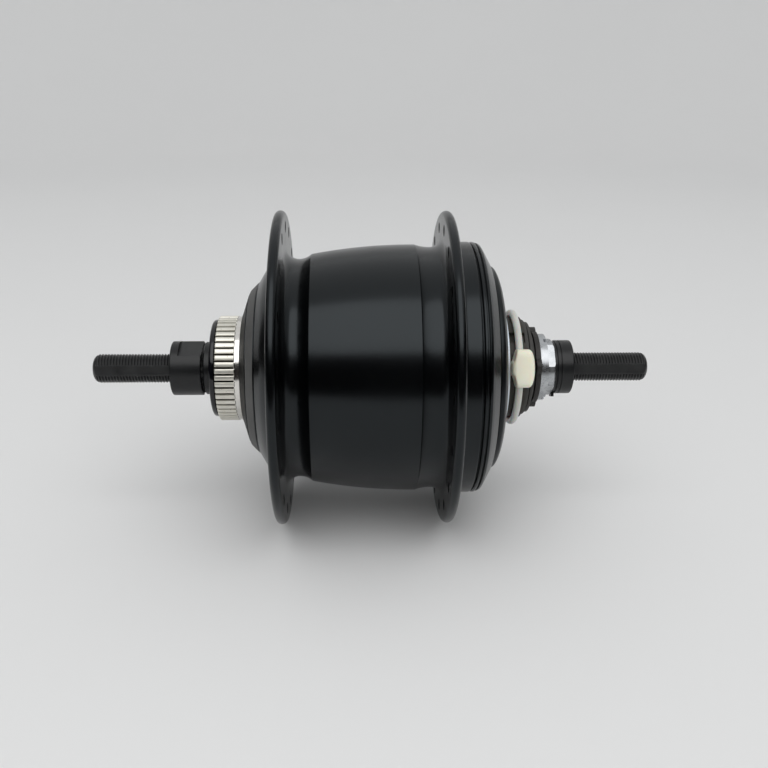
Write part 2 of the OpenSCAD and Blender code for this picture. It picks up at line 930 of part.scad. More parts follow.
// Carrier: two plates joined by three posts, with pockets for its pawls
module carrier() {
    plate_r = centre + 7;
    whole_length = right_plate_x + right_plate_t - left_plate_x;
    post_at_r = centre + 0.7;
    rivet_r = 1.6;
    color("#7d8184")
    difference() {
        union() {
            tube(left_plate_x, left_plate_x + left_plate_t, core_r + run_gap, carrier_rim_r);
            tube(right_plate_x, right_plate_x + right_plate_t, cone_bore_r, plate_r);
            around(3, 60)
                translate([left_plate_x + left_plate_t / 2, post_at_r, 0])
                    on_axle()
                        cylinder(h = right_plate_x - left_plate_x, d = post_d);
        }
        around(3)
            translate([left_plate_x + pin_wall, centre, 0])
                on_axle()
                    cylinder(h = whole_length, r = pin_d / 2 + fit_gap);
        around(3, carrier_pawl_first)
            carrier_pawl_room();
        around(3, 60)
            translate([right_plate_x - 1, centre + 4, 0])
                on_axle()
                    cylinder(h = right_plate_t + 2, r = rivet_r);
    }
}

// Pocket of one carrier pawl, open towards the rim
module carrier_pawl_room() {
    room = carrier_pawl_length + 0.5;
    half = carrier_pawl_thick / 2;
    slice(left_plate_x - 1, left_plate_t + 2)
        translate(carrier_heel) {
            circle(carrier_pawl_thick * 0.55 + run_gap);
            rotate(carrier_pawl_rest) {
                translate([0, -half - 3])
                    square([room, half + 3]);
                translate([0, -half - 0.4])
                    square([room, carrier_pawl_thick + 1]);
            }
        }
}

module carrier_pawl(i) {
    color("#a1a5a8")
    rotate([carrier_pawl_first + i * 120, 0, 0])
        slice(left_plate_x + 0.2, left_plate_t - 0.4)
            translate(carrier_heel)
                rotate(carrier_pawl_rest)
                    pawl_shape(carrier_pawl_length, carrier_pawl_thick);
}

module carrier_pawl_1() {
    carrier_pawl(0);
}

module carrier_pawl_2() {
    carrier_pawl(1);
}

module carrier_pawl_3() {
    carrier_pawl(2);
}

module planet_pins() {
    color("#c0c4c6")
    around(3)
        translate([left_plate_x + pin_wall + fit_gap, centre, 0])
            on_axle()
                cylinder(h = right_plate_x + right_plate_t - left_plate_x - 2 * pin_wall, d = pin_d);
}

// Low planet: the small step meets the sun, the large step meets the ring
module low_planet(i) {
    color("#a8acaf")
    rotate([i * 120, 0, 0])
        translate([0, centre, 0])
            difference() {
                union() {
                    toothed_wheel(low_sun_x, step_width, low_inner_teeth, 0);
                    toothed_wheel(low_ring_x, low_ring_width, low_outer_teeth, 0);
                    tube(low_sun_x, low_ring_x + 1, 1, 4.6 * gear_module);
                }
                tube(low_sun_x - 1, right_plate_x, 0, planet_bore_r);
            }
}

module low_planet_1() {
    low_planet(0);
}

module low_planet_2() {
    low_planet(1);
}

module low_planet_3() {
    low_planet(2);
}

// High planet: three steps of one piece, each facing its own sun
module high_planet(i) {
    color("#b0b4b6")
    rotate([i * 120, 0, 0])
        translate([0, centre, 0])
            difference() {
                union() {
                    for (k = [0:2])
                        toothed_wheel(
                            step_x[k], step_width, high_step_teeth[k],
                            high_step_teeth[k] % 2 == 0 ? 0 : (k == 1 ? 0 : 180)
                        );
                    tube(step_x[0], high_end_x - 1, 1, 4.6 * gear_module);
                }
                tube(step_x[0] - 1, high_end_x + 1, 0, planet_bore_r);
            }
}

module high_planet_1() {
    high_planet(0);
}

module high_planet_2() {
    high_planet(1);
}

module high_planet_3() {
    high_planet(2);
}

// Suns of the high stage, free on the shift sleeve while first gear is in
module high_sun(k) {
    teeth = 2 * centre_modules - high_step_teeth[k];
    difference() {
        toothed_wheel(step_x[k] + 0.1, step_width - 0.2, teeth, k == 1 ? 0 : 180 / teeth);
        sun_bore(step_x[k], step_width);
    }
}

module high_sun_large() {
    color("#94989b")
    high_sun(0);
}

module high_sun_middle() {
    color("#94989b")
    high_sun(1);
}

module high_sun_small() {
    color("#94989b")
    high_sun(2);
}

// High ring gear: drum with a ratchet at the left, clutch ramps outside, teeth inside
module high_ring_gear() {
    ramp_x = step_x[0] - 0.5;
    ramp_length = step_width + 2;
    ratchet_teeth = 12;
    color("#8a8e91")
    difference() {
        tube(train_x, step_x[1] + step_width + 0.2, 1, high_drum_r);
        tube(left_plate_x + left_plate_t, step_x[1] - 0.2, 0, high_ring_root_r + 0.2);
        ring_gear_room(step_x[1] - 1, step_width + 3, high_ring_teeth);
        slice(train_x - 1, left_plate_t + 1.5)
            polygon([
                for (i = [0:ratchet_teeth - 1])
                    for (p = [[0, 0], [11, ratchet_depth], [24, ratchet_depth]])
                        polar(
                            ratchet_r + p[1],
                            carrier_pawl_first + ratchet_turn + i * 360 / ratchet_teeth + p[0]
                        )
            ]);
        around(roller_count)
            translate([ramp_x, ramp_r, -high_drum_r / 2])
                cube([ramp_length, 10, high_drum_r]);
    }
}

module clutch_rollers() {
    color("#c4c8ca")
    around(roller_count)
        translate([step_x[0], roller_at_r, 0])
            on_axle()
                cylinder(h = step_width, d = roller_d);
}

module clutch_cage() {
    rib = 0.6;
    play = 0.1;
    color("#b08d57")
    difference() {
        tube(
            step_x[0] - rib, step_x[0] + step_width + rib,
            high_drum_r + 2 * play, race_in_r - 3 * play
        );
        around(roller_count)
            translate([step_x[0] - play, roller_at_r, 0])
                on_axle()
                    cylinder(h = step_width + 2 * play, r = roller_d / 2 + play);
    }
}

// Hub shell: dome, two spoke flanges, necks and crowned barrel around the gear room
module hub_shell() {
    color("#26282a")
    difference() {
        on_axle()
            rotate_extrude()
                shell_section();
        for (side = [0, 1])
            around(spoke_holes, first_hole + side * 180 / spoke_holes)
                translate([side == 0 ? -flange_left : flange_right, spoke_circle_r, 0])
                    rotate([0, 90, 0])
                        cylinder(h = 3 * flange_t, d = spoke_hole_d, center = true);
    }
}

module shell_section() {
    left_face = -flange_left - flange_t / 2;
    left_inner = -flange_left + flange_t / 2;
    right_inner = flange_right - flange_t / 2;
    barrel_right = barrel_length - barrel_left;
    reach = -barrel_left - left_inner;
    cove = reach + barrel_step - sqrt(2 * reach * barrel_step);
    cove_end = 360 - acos(reach / cove - 1);
    dome_length = 5.2;
    dome_low = left_bore_r + 1.65;
    dome_high = neck_left_r - 8.45;
    dome_step = 0.7;
    dome = [[0, 0], [0.04, 0.06], [0.42, 0.55], [1, 1]];
    neck_run = 2.6;
    difference() {
        union() {
            polygon(flip(concat(
                [[shell_left, left_bore_r]],
                [for (p = dome)
                    [shell_left + dome_length * p[0], dome_low + (dome_high - dome_low) * p[1]]],
                [
                    [shell_left + dome_length, dome_high + dome_step],
                    [left_face, neck_left_r + 0.4],
                    [left_inner, neck_left_r + cove]
                ],
                [for (i = [1:11])
                    let (a = 180 + (cove_end - 180) * i / 12)
                    [left_inner + cove * (1 + cos(a)), neck_left_r + cove * (1 + sin(a))]],
                [for (i = [0:24])
                    let (t = i / 24)
                    [
                        -barrel_left + barrel_length * t,
                        barrel_left_r + barrel_rise * t + 4 * barrel_crown * t * (1 - t)
                    ]],
                [for (i = [1:8])
                    let (t = i / 8)
                    [
                        barrel_right + neck_run * t,
                        barrel_right_r + (neck_right_r - barrel_right_r) * (1 - cos(180 * t)) / 2
                    ]],
                [
                    [flange_right, neck_right_r],
                    [flange_right, shell_end_r],
                    [shell_right - 0.4, shell_end_r],
                    [shell_right, shell_end_r - 0.4],
                    [shell_right, left_bore_r]
                ]
            )));
            for (x = [-flange_left, flange_right]) {
                translate([neck_left_r - 1, x - flange_t / 2])
                    square([flange_r - neck_left_r + 1 - flange_t / 2, flange_t]);
                translate([flange_r - flange_t / 2, x])
                    circle(flange_t / 2);
            }
            corner_fill(right_inner, neck_right_r, 3.5, -1);
            corner_fill(flange_right + flange_t / 2, shell_end_r, 1.8, 1);
        }
        polygon(flip([
            [core_start_x + 0.5, left_bore_r - 1],
            [core_start_x + 0.5, left_bore_r + 2.4],
            [race_wall_x, race_seat_r - 6],
            [race_wall_x, race_seat_r],
            [low_ring_x - 0.8, race_seat_r],
            [low_ring_x - 0.8, cavity_r],
            [cup_seat_x, cavity_r],
            [cup_seat_x, cup_seat_r],
            [shell_right + 1, cup_seat_r],
            [shell_right + 1, left_bore_r - 1]
        ]));
    }
}

// Disc spline: toothed collar with a plain shoulder and a pilot skirt in the shell
module disc_spline_ring() {
    count = spline_teeth;
    root_r = spline_r - spline_depth;
    shoulder_r = spline_r - 0.2;
    pilot_length = 1.7;
    first_groove = 1.2;
    tooth = [[0, 0], [0.16, 0], [0.24, 1], [0.92, 1]];
    color("#c9ccce")
    difference() {
        union() {
            slice(spline_end_x, spline_length + 0.3)
                polygon([
                    for (i = [0:count - 1])
                        for (p = tooth)
                            polar(
                                root_r + p[1] * spline_depth,
                                first_groove + (i + p[0]) * 360 / count
                            )
                ]);
            turned([
                [spline_x, 1],
                [spline_x, shoulder_r - 0.2],
                [spline_x + 0.2, shoulder_r],
                [shell_left - fit_gap, shoulder_r],
                [shell_left - fit_gap, left_bore_r - fit_gap],
                [shell_left + pilot_length, left_bore_r - fit_gap],
                [shell_left + pilot_length, 1]
            ]);
        }
        tube(spline_end_x - 1, shell_left + 5, 0, ring_bore_r);
        turned([
            [spline_end_x - 1, spline_r - 4],
            [spline_end_x - 1, spline_r - 1.2],
            [spline_end_x + 1, ring_bore_r - 0.1],
            [spline_end_x + 1, spline_r - 4]
        ]);
    }
}

module left_ball_cup() {
    color("#7a7e81")
    difference() {
        tube(shell_left + 1.8, left_ball_x + 3, left_ball_at + 1.3, left_bore_r - fit_gap);
        ball_groove(left_ball_x, left_ball_at, left_ball_r);
    }
}

// Lip seal between the left cone and the spline ring
module left_seal() {
    x = spline_x - 4;
    out_r = ring_bore_r - fit_gap;
    color("#222324")
    turned([
        [x, cone_neck_r + 0.6],
        [x + 0.6, cone_neck_r + 0.3],
        [x + 1, cone_neck_r + 0.8],
        [x + 1.6, ring_bore_r - 2.4],
        [x + 3.6, ring_bore_r - 1.8],
        [x + 3.6, out_r],
        [x, out_r]
    ]);
}

module clutch_race() {
    color("#969a9d")
    tube(race_wall_x + fit_gap, step_x[0] + step_width + 1.6, race_in_r, race_out_r);
}

// Right ball cup: pressed into the shell, with a grooved black collar that shows outside
module right_ball_cup() {
    in_r = outer_ball_at + 1.2;
    end = 5.95;
    joint_depth = 1.6;
    groove_depth = 1.3;
    collar = [
        [end, 6],
        [3.7, 1.9],
        [2.9, 0.6],
        [2.1, 0.2],
        [2.1, groove_depth],
        [1.5, groove_depth],
        [1.5, 0.1],
        [0.7, 0],
        [0.55, 0.3],
        [0.55, joint_depth],
        [fit_gap, joint_depth]
    ];
    color("#1d1e20")
    difference() {
        turned(concat(
            [[cup_seat_x + 0.2, in_r], [shell_right + end, in_r]],
            [for (p = collar) [shell_right + p[0], shell_end_r - p[1]]],
            [
                [shell_right + fit_gap, cup_seat_r - fit_gap],
                [cup_seat_x + 0.2, cup_seat_r - fit_gap]
            ]
        ));
        ball_groove(outer_ball_x, outer_ball_at, outer_ball_r);
    }
}

module left_balls() {
    color("#d5d8da")
    ball_row(left_ball_x, left_ball_at, left_ball_r, left_ball_count);
}

module left_ball_cage() {
    color("#b0b4b6")
    ball_cage(left_ball_x, left_ball_at, left_ball_r, left_ball_count);
}

module right_outer_balls() {
    color("#d5d8da")
    ball_row(outer_ball_x, outer_ball_at, outer_ball_r, outer_ball_count);
}

module right_outer_cage() {
    color("#b0b4b6")
    ball_cage(outer_ball_x, outer_ball_at, outer_ball_r, outer_ball_count);
}

module right_inner_balls() {
    color("#d5d8da")
    ball_row(inner_ball_x, inner_ball_at, inner_ball_r, inner_ball_count);
}

module right_inner_cage() {
    color("#b0b4b6")
    ball_cage(inner_ball_x, inner_ball_at, inner_ball_r, inner_ball_count);
}

axle();
left_cone();
left_dust_cap();
left_washer();
left_locknut();
right_cone();
right_lock_washer();
right_locknut();
low_sun_gear();
sun_pawls();
axle_circlip();
shift_return_spring();
shift_sleeve();
shift_ring();
driver();
driver_cap();
sprocket_stop_plate();
driver_end_seal();
shipping_band();
low_ring_gear();
direct_clutch_ring();
carrier();
planet_pins();
carrier_pawl_1();
carrier_pawl_2();
carrier_pawl_3();
low_planet_1();
low_planet_2();
low_planet_3();
high_planet_1();
high_planet_2();
high_planet_3();
high_sun_small();
high_sun_middle();
high_sun_large();
high_ring_gear();
clutch_rollers();
clutch_cage();
hub_shell();
disc_spline_ring();
left_ball_cup();
left_seal();
clutch_race();
right_ball_cup();
left_balls();
left_ball_cage();
right_outer_balls();
right_outer_cage();
right_inner_balls();
right_inner_cage();
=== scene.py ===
# Bicycle hub gear in the studio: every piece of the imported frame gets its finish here, and the
# pieces whose surface the solids only outline (threads, painted shell, turned edges) are drawn anew.
import math
import bmesh
import bpy
import numpy as np
from mathutils import Matrix, Vector


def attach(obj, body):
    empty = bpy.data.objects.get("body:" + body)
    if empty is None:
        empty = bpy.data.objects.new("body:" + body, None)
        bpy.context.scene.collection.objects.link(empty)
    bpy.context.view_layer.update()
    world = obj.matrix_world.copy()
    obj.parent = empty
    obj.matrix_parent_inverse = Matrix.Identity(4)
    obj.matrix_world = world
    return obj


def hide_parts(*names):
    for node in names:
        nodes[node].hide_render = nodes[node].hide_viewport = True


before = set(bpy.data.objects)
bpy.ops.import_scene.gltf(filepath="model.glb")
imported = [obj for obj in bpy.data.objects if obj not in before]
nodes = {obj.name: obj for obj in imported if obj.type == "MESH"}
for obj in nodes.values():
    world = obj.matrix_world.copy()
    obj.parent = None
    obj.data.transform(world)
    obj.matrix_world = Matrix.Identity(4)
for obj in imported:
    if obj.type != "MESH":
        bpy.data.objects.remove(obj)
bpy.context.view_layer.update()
MM, MERGE = 0.001, 1e-7


# Axle
# The axle is one bar of hardened steel, turned to size, with threads rolled on both ends and two
# flats milled along them that keep it from turning in the frame. It is blackened in a hot bath.

def grid_faces(rows, columns, closed_rows=False):
    """Faces of a grid of points whose columns run round and meet: each cell between four neighbours is
    one face of point numbers. Closed rows meet as well."""
    r, c = np.meshgrid(np.arange(rows if closed_rows else rows - 1), np.arange(columns), indexing="ij")
    r2, c2 = (r + 1) % rows, (c + 1) % columns
    return np.stack([r * columns + c, r * columns + c2, r2 * columns + c2, r2 * columns + c], -1)


def clean_mesh(name, points, faces):
    """Mesh of points in millimetres: points that fall together are merged, and faces turn outwards."""
    mesh = bpy.data.meshes.new(name)
    mesh.from_pydata(points.reshape(-1, 3) * MM, [], faces.reshape(-1, 4))
    work = bmesh.new()
    work.from_mesh(mesh)
    bmesh.ops.remove_doubles(work, verts=work.verts, dist=MERGE)
    bmesh.ops.recalc_face_normals(work, faces=work.faces)
    work.to_mesh(mesh)
    work.free()
    return mesh


def shade(mesh, sharp):
    """Shades a mesh smooth, with edges crisp that bend by more than the sharp angle in degrees."""
    mesh.polygons.foreach_set("use_smooth", np.ones(len(mesh.polygons), bool))
    mesh.set_sharp_from_angle(angle=math.radians(sharp))


def carried(name, mesh, body):
    """Object of a mesh, carried by a body of the frame."""
    piece = bpy.data.objects.new(name, mesh)
    bpy.context.scene.collection.objects.link(piece)
    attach(piece, body)
    return piece


def surface(name, points, body, closed_rows=False, sharp=40.0):
    """Piece over a grid of points whose columns run round the axle."""
    mesh = clean_mesh(name, points, grid_faces(*points.shape[:2], closed_rows))
    shade(mesh, sharp)
    return carried(name, mesh, body)


def around_axle(x, r, segments):
    """Points of a line given by its place x along the axle and its distance r from it, carried round
    the axle: (x, r cos a, r sin a) for evenly spaced angles a. r may change with the angle."""
    a = np.linspace(0, 2 * np.pi, segments, endpoint=False)
    x, r = np.asarray(x, float), np.asarray(r, float)
    if r.ndim == 1:
        r = np.repeat(r[:, None], segments, 1)
    return np.stack([np.repeat(x[:, None], segments, 1), r * np.cos(a), r * np.sin(a)], -1)


AXLE_TIP, AXLE_R, TIP_ROUND, TIP_GAP = 92.0, 4.76, 2.4, 0.02
THREAD_START, THREAD_PITCH, THREAD_DEPTH, THREAD_STEPS, AXLE_STEPS = 64.6, 0.977, 0.56, 12, 120
CREST, FLANK_POWER = 0.12, 1.1
FLAT, FLAT_START, FLAT_LEAN = 4.425, 66.4, math.radians(-9)


def flat_reach(a, lean, flat):
    """Distance from the axle to a pair of flats along each angle a: flat / |cos(a - lean)|, with the
    cosine kept above a fifth, where the flats lie outside the piece."""
    return flat / np.maximum(np.abs(np.cos(a - lean)), 0.2)


def threaded_end(name, side):
    """Threaded axle end: the radius is a helical ridge or, outside the locknut and where they lie below
    the crests, the two smooth flats, and no more than the round tip. The ridge is a rounded saw of the
    phase (place / pitch - turn)."""
    turns = np.arange(THREAD_START, AXLE_TIP - TIP_GAP, THREAD_PITCH / THREAD_STEPS)
    x = np.concatenate([[THREAD_START], turns, [AXLE_TIP, AXLE_TIP]])
    a = np.linspace(0, 2 * np.pi, AXLE_STEPS, endpoint=False)
    phase = x[:, None] / THREAD_PITCH - side * a[None, :] / (2 * np.pi)
    saw = np.abs(2 * (phase % 1) - 1)
    ridge = AXLE_R - THREAD_DEPTH * np.clip((saw - CREST) / (1 - 2 * CREST), 0, 1) ** FLANK_POWER
    reach = np.clip(x - (AXLE_TIP - TIP_ROUND), 0, TIP_ROUND)
    tip = AXLE_R - TIP_ROUND + np.sqrt(TIP_ROUND**2 - reach**2)
    flat = np.where(x[:, None] > FLAT_START, flat_reach(a, FLAT_LEAN, FLAT)[None, :], 2 * AXLE_R)
    r = np.minimum(np.where(flat < AXLE_R, flat, ridge), tip[:, None])
    r[0], r[-1] = 0, 0
    return surface(name, around_axle(side * x, r, AXLE_STEPS), "axle", sharp=75.0)


axle_ends = [threaded_end("axle_thread_left", -1), threaded_end("axle_thread_right", 1)]

# The plain middle keeps its solid, cut off inside the locknuts where the threaded ends take over.
bar = bmesh.new()
bar.from_mesh(nodes["axle"].data)
bmesh.ops.remove_doubles(bar, verts=bar.verts, dist=MERGE)
BAR_END = THREAD_START + 0.1
for side in (-1, 1):
    cut = bmesh.ops.bisect_plane(
        bar, geom=bar.verts[:] + bar.edges[:] + bar.faces[:],
        plane_co=(side * BAR_END * MM, 0, 0), plane_no=(side, 0, 0), clear_outer=True,
    )
    bmesh.ops.holes_fill(bar, edges=[e for e in cut["geom_cut"] if isinstance(e, bmesh.types.BMEdge)])
bar_mesh = bpy.data.meshes.new("axle_bar")
bar.to_mesh(bar_mesh)
bar.free()
axle_bar = carried("axle_bar", bar_mesh, "axle")
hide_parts("axle")


def group(name, inputs, outputs):
    """Empty shader node group with named value inputs and named outputs, and its two end nodes."""
    tree = bpy.data.node_groups.new(name, "ShaderNodeTree")
    for label, value in inputs:
        socket = tree.interface.new_socket(label, in_out="INPUT", socket_type="NodeSocketFloat")
        socket.default_value = value
    for label in outputs:
        tree.interface.new_socket(label, in_out="OUTPUT", socket_type="NodeSocketFloat")
    return tree, tree.nodes.new("NodeGroupInput"), tree.nodes.new("NodeGroupOutput")


def node(tree, kind, links=(), **values):
    """New node of a kind, its settings and unlinked inputs taken from values, its links made."""
    made = tree.nodes.new(kind)
    for key, value in values.items():
        if hasattr(made, key):
            setattr(made, key, value)
        else:
            made.inputs[key.replace("_", " ")].default_value = value
    for key, source in links:
        tree.links.new(source, made.inputs[key])
    return made


def feed(tree, socket, value):
    """Links another node's output to a socket, or sets the socket to a number or a colour."""
    if isinstance(value, bpy.types.NodeSocket):
        tree.links.new(value, socket)
    else:
        socket.default_value = value


def maths(tree, operation, first, second):
    """Result of a math node whose two terms are numbers or other nodes' outputs."""
    made = node(tree, "ShaderNodeMath", operation=operation)
    feed(tree, made.inputs[0], first)
    feed(tree, made.inputs[1], second)
    return made.outputs[0]


def blend(tree, share, low, high):
    """Colour that runs from low to high with a share. Of a mix node's sockets, inputs 6 and 7 and
    output 2 are the ones for colours."""
    mix = node(tree, "ShaderNodeMix", [(0, share)], data_type="RGBA")
    feed(tree, mix.inputs[6], low)
    feed(tree, mix.inputs[7], high)
    return mix.outputs[2]


# Cloudy variation that every finish has from its bath, its paint or from being handled: noise, of
# which a spread round its middle is stretched from none to full.
clouds, c_in, c_out = group("surface_clouds", [("Scale", 60.0), ("Spread", 1.0)], ["Cloud"])
c_place = node(clouds, "ShaderNodeTexCoord")
c_noise = node(
    clouds, "ShaderNodeTexNoise",
    [("Vector", c_place.outputs["Object"]), ("Scale", c_in.outputs["Scale"])],
    Detail=5.0, Roughness=0.6,
)
c_half = maths(clouds, "DIVIDE", c_in.outputs["Spread"], 2.0)
c_low, c_high = maths(clouds, "SUBTRACT", 0.5, c_half), maths(clouds, "ADD", 0.5, c_half)
c_range = node(
    clouds, "ShaderNodeMapRange",
    [("Value", c_noise.outputs["Fac"]), ("From Min", c_low), ("From Max", c_high)],
)
clouds.links.new(c_range.outputs["Result"], c_out.inputs["Cloud"])

# Place on a turned piece: how far from the axle, in millimetres, and the fine rings of the lathe
# tool, which are noise that changes along the axle and outwards, not around.
turning, t_in, t_out = group("turned_place", [("Scale", 4000.0)], ["Distance", "Ring"])
t_place = node(turning, "ShaderNodeTexCoord")
t_split = node(turning, "ShaderNodeSeparateXYZ", [("Vector", t_place.outputs["Object"])])
t_across = node(
    turning, "ShaderNodeCombineXYZ", [("X", t_split.outputs["Y"]), ("Y", t_split.outputs["Z"])]
)
t_length = node(turning, "ShaderNodeVectorMath", [(0, t_across.outputs[0])], operation="LENGTH")
t_mm = maths(turning, "DIVIDE", t_length.outputs["Value"], MM)
t_flat = node(
    turning, "ShaderNodeCombineXYZ", [("X", t_split.outputs["X"]), ("Y", t_length.outputs["Value"])]
)
t_noise = node(
    turning, "ShaderNodeTexNoise",
    [("Vector", t_flat.outputs[0]), ("Scale", t_in.outputs["Scale"])],
    noise_dimensions="2D", Detail=2.0,
)
turning.links.new(t_mm, t_out.inputs["Distance"])
turning.links.new(t_noise.outputs["Fac"], t_out.inputs["Ring"])

# Specks of dust or small pits: the middles of scattered cells, as a mask from none to full.
specks, s_in, s_out = group("scattered_specks", [("Scale", 300.0), ("Size", 0.12)], ["Speck"])
s_place = node(specks, "ShaderNodeTexCoord")
s_cells = node(
    specks, "ShaderNodeTexVoronoi",
    [("Vector", s_place.outputs["Object"]), ("Scale", s_in.outputs["Scale"])],
)
s_mask = node(
    specks, "ShaderNodeMapRange",
    [("Value", s_cells.outputs["Distance"]), ("From Max", s_in.outputs["Size"])],
    interpolation_type="SMOOTHSTEP", To_Min=1.0, To_Max=0.0,
)
specks.links.new(s_mask.outputs["Result"], s_out.inputs["Speck"])


GRAIN_HEIGHT, RING_HEIGHT = 0.1, 0.05


def finish(
    name, low, high, rough, cloud_scale,
    bump=0.0, bump_scale=0.0, ring=0.0, speck=None, below=None, **shader,
):
    """Material whose colour and roughness run between two values with the clouds, with a bump of fine
    grain or lathe rings. speck is (colour, scale, size), and below is (colour, distance, soft edge) of a
    painted shade on what lies nearer to the axle than a distance. The other shader sockets are set
    directly."""
    material = bpy.data.materials.new(name)
    material.use_nodes = True
    tree = material.node_tree
    bsdf = tree.nodes["Principled BSDF"]
    for key, value in shader.items():
        bsdf.inputs[key.replace("_", " ")].default_value = value
    cloud = node(tree, "ShaderNodeGroup", node_tree=clouds, Scale=cloud_scale, Spread=0.5)
    colour = blend(tree, cloud.outputs["Cloud"], (*low, 1), (*high, 1))
    if speck:
        spot = node(tree, "ShaderNodeGroup", node_tree=specks, Scale=speck[1], Size=speck[2])
        colour = blend(tree, spot.outputs["Speck"], colour, (*speck[0], 1))
    if below or ring:
        lathe = node(tree, "ShaderNodeGroup", node_tree=turning)
    if below:
        deep = node(
            tree, "ShaderNodeMapRange", [("Value", lathe.outputs["Distance"])],
            interpolation_type="SMOOTHSTEP", From_Min=below[1] - below[2], From_Max=below[1] + below[2],
        )
        colour = blend(tree, deep.outputs["Result"], (*below[0], 1), colour)
    tree.links.new(colour, bsdf.inputs["Base Color"])
    gloss = node(
        tree, "ShaderNodeMapRange", [("Value", cloud.outputs["Cloud"])], To_Min=rough[0], To_Max=rough[1]
    )
    tree.links.new(gloss.outputs["Result"], bsdf.inputs["Roughness"])
    if bump:
        place = node(tree, "ShaderNodeTexCoord")
        grain = node(
            tree, "ShaderNodeTexNoise", [("Vector", place.outputs["Object"])], Scale=bump_scale, Detail=3.0
        )
        relief = node(
            tree, "ShaderNodeBump", [("Height", grain.outputs["Fac"])],
            Strength=bump, Distance=GRAIN_HEIGHT * MM,
        )
        tree.links.new(relief.outputs["Normal"], bsdf.inputs["Normal"])
    if ring:
        marks = node(
            tree, "ShaderNodeBump", [("Height", lathe.outputs["Ring"])],
            Strength=ring, Distance=RING_HEIGHT * MM,
        )
        if bump:
            tree.links.new(relief.outputs["Normal"], marks.inputs["Normal"])
        tree.links.new(marks.outputs["Normal"], bsdf.inputs["Normal"])
    return material


def dress(material, *pieces):
    """Gives the material to pieces of this file or to nodes of the frame by name."""
    for piece in pieces:
        mesh = (nodes[piece] if isinstance(piece, str) else piece).data
        mesh.materials.clear()
        mesh.materials.append(material)


black_steel = finish(
    "blackened_steel", (0.010, 0.0104, 0.0108), (0.024, 0.0245, 0.025), (0.26, 0.40), 260.0,
    bump=0.25, bump_scale=2600.0, ring=0.12,
)
dress(black_steel, axle_bar, *axle_ends)


# Left cone
# The left cone is a case-hardened threaded tube that carries the inner race of the left balls. It
# is blackened like the nuts, and its neck shows between the dust cap and the toothed washer.

nut_black = finish(
    "blackened_nut", (0.0035, 0.0040, 0.0046), (0.009, 0.0097, 0.0105), (0.28, 0.40), 140.0,
    bump=0.3, bump_scale=2200.0, ring=0.2, Specular_IOR_Level=0.4,
)
# The toothed washer is made darker than the nuts: painted shade for the dark gap between nut and washer.
washer_black_painted_shade = finish(
    "blackened_washer_painted_shade", (0.0012, 0.0013, 0.0015), (0.004, 0.0042, 0.0046), (0.45, 0.60), 200.0,
    bump=0.2, bump_scale=2200.0, Specular_IOR_Level=0.25,
)
dress(nut_black, "left_cone")
dress(washer_black_painted_shade, "left_washer")


# Left dust cap
# A pressed cap with a glossy black coat covers the left bearing. Its rim is round and its lip
# reaches into the spline ring.

BEND_STEPS, LEAD, SAME_POINT, NO_LENGTH = 5, 1.4, 1e-5, 1e-9


def soften(corners):
    """Closed line through corners given as rows of place x, distance r and softening s. Each corner
    becomes a parabola that leaves the straight before it and meets the one after it s away from the
    corner, with a lead point further out on each straight that keeps the shading of flat faces even."""
    corners = np.asarray(corners, float)
    p, s = corners[:, None, :2], corners[:, None, 2:]
    back, ahead = np.roll(p, 1, 0) - p, np.roll(p, -1, 0) - p
    back = back / np.maximum(np.linalg.norm(back, axis=2, keepdims=True), NO_LENGTH)
    ahead = ahead / np.maximum(np.linalg.norm(ahead, axis=2, keepdims=True), NO_LENGTH)
    t = np.linspace(0, 1, BEND_STEPS)[None, :, None]
    bend = p + back * s * (1 - t) ** 2 + ahead * s * t**2
    line = np.concatenate([p + back * s * LEAD, bend, p + ahead * s * LEAD], 1).reshape(-1, 2)
    return line[np.linalg.norm(line - np.roll(line, 1, 0), axis=1) > SAME_POINT]


def turned(name, corners, body, replaced, segments=192):
    """Closed turned piece: the softened outline carried round the axle, in the place of a frame node."""
    line = soften(corners)
    piece = surface(name, around_axle(line[:, 0], line[:, 1], segments), body, closed_rows=True)
    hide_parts(replaced)
    return piece


dust_cap = turned(
    "dust_cap",
    [
        (-52.35, 8.75, 0.1), (-52.35, 16.05, 1.0), (-50.65, 16.05, 0.2), (-50.65, 14.05, 0),
        (-48.45, 14.05, 0.1), (-48.45, 12.95, 0.1), (-50.65, 12.95, 0), (-50.65, 8.75, 0.1),
    ],
    "axle", "left_dust_cap",
)
cap_black = finish(
    "glossy_black", (0.0008, 0.0008, 0.0016), (0.003, 0.003, 0.005), (0.08, 0.15), 120.0,
    bump=0.06, bump_scale=1500.0,
)
dress(cap_black, dust_cap)


# Left locknut
# A round steel nut, turned, blackened and clamped on the thread against the toothed washer. Two
# wrench flats are milled into all but its outer rim.

NUT_FACE, NUT_R, NUT_BORE, NUT_STEPS = 66.0, 8.95, 4.81, 360
NUT_FLAT, NUT_LEAN, FLAT_END, FLAT_STEP, NUT_BACK = 7.5, math.radians(101), -63.4, 0.02, -55.9
nut_line = soften([
    (-NUT_FACE, NUT_BORE, 0.15), (-NUT_FACE, NUT_R, 0.5), (FLAT_END - FLAT_STEP, NUT_R, 0),
    (FLAT_END + FLAT_STEP, NUT_R, 0), (NUT_BACK, NUT_R, 0.35), (NUT_BACK, NUT_BORE, 0.1),
])
nut_angle = np.linspace(0, 2 * np.pi, NUT_STEPS, endpoint=False)
nut_flat = flat_reach(nut_angle, NUT_LEAN, NUT_FLAT)
nut_r = np.where(
    nut_line[:, :1] > FLAT_END, np.minimum(nut_line[:, 1:], nut_flat[None, :]), nut_line[:, 1:]
)
left_nut = surface(
    "left_nut", around_axle(nut_line[:, 0], nut_r, NUT_STEPS), "axle", closed_rows=True, sharp=25.0
)
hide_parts("left_locknut")
dress(nut_black, left_nut)


# Gear train
# Suns, planets and ring gears are cut from alloy steel and case-hardened. They run in grease
# inside the closed shell, on pins held by the phosphated carrier.

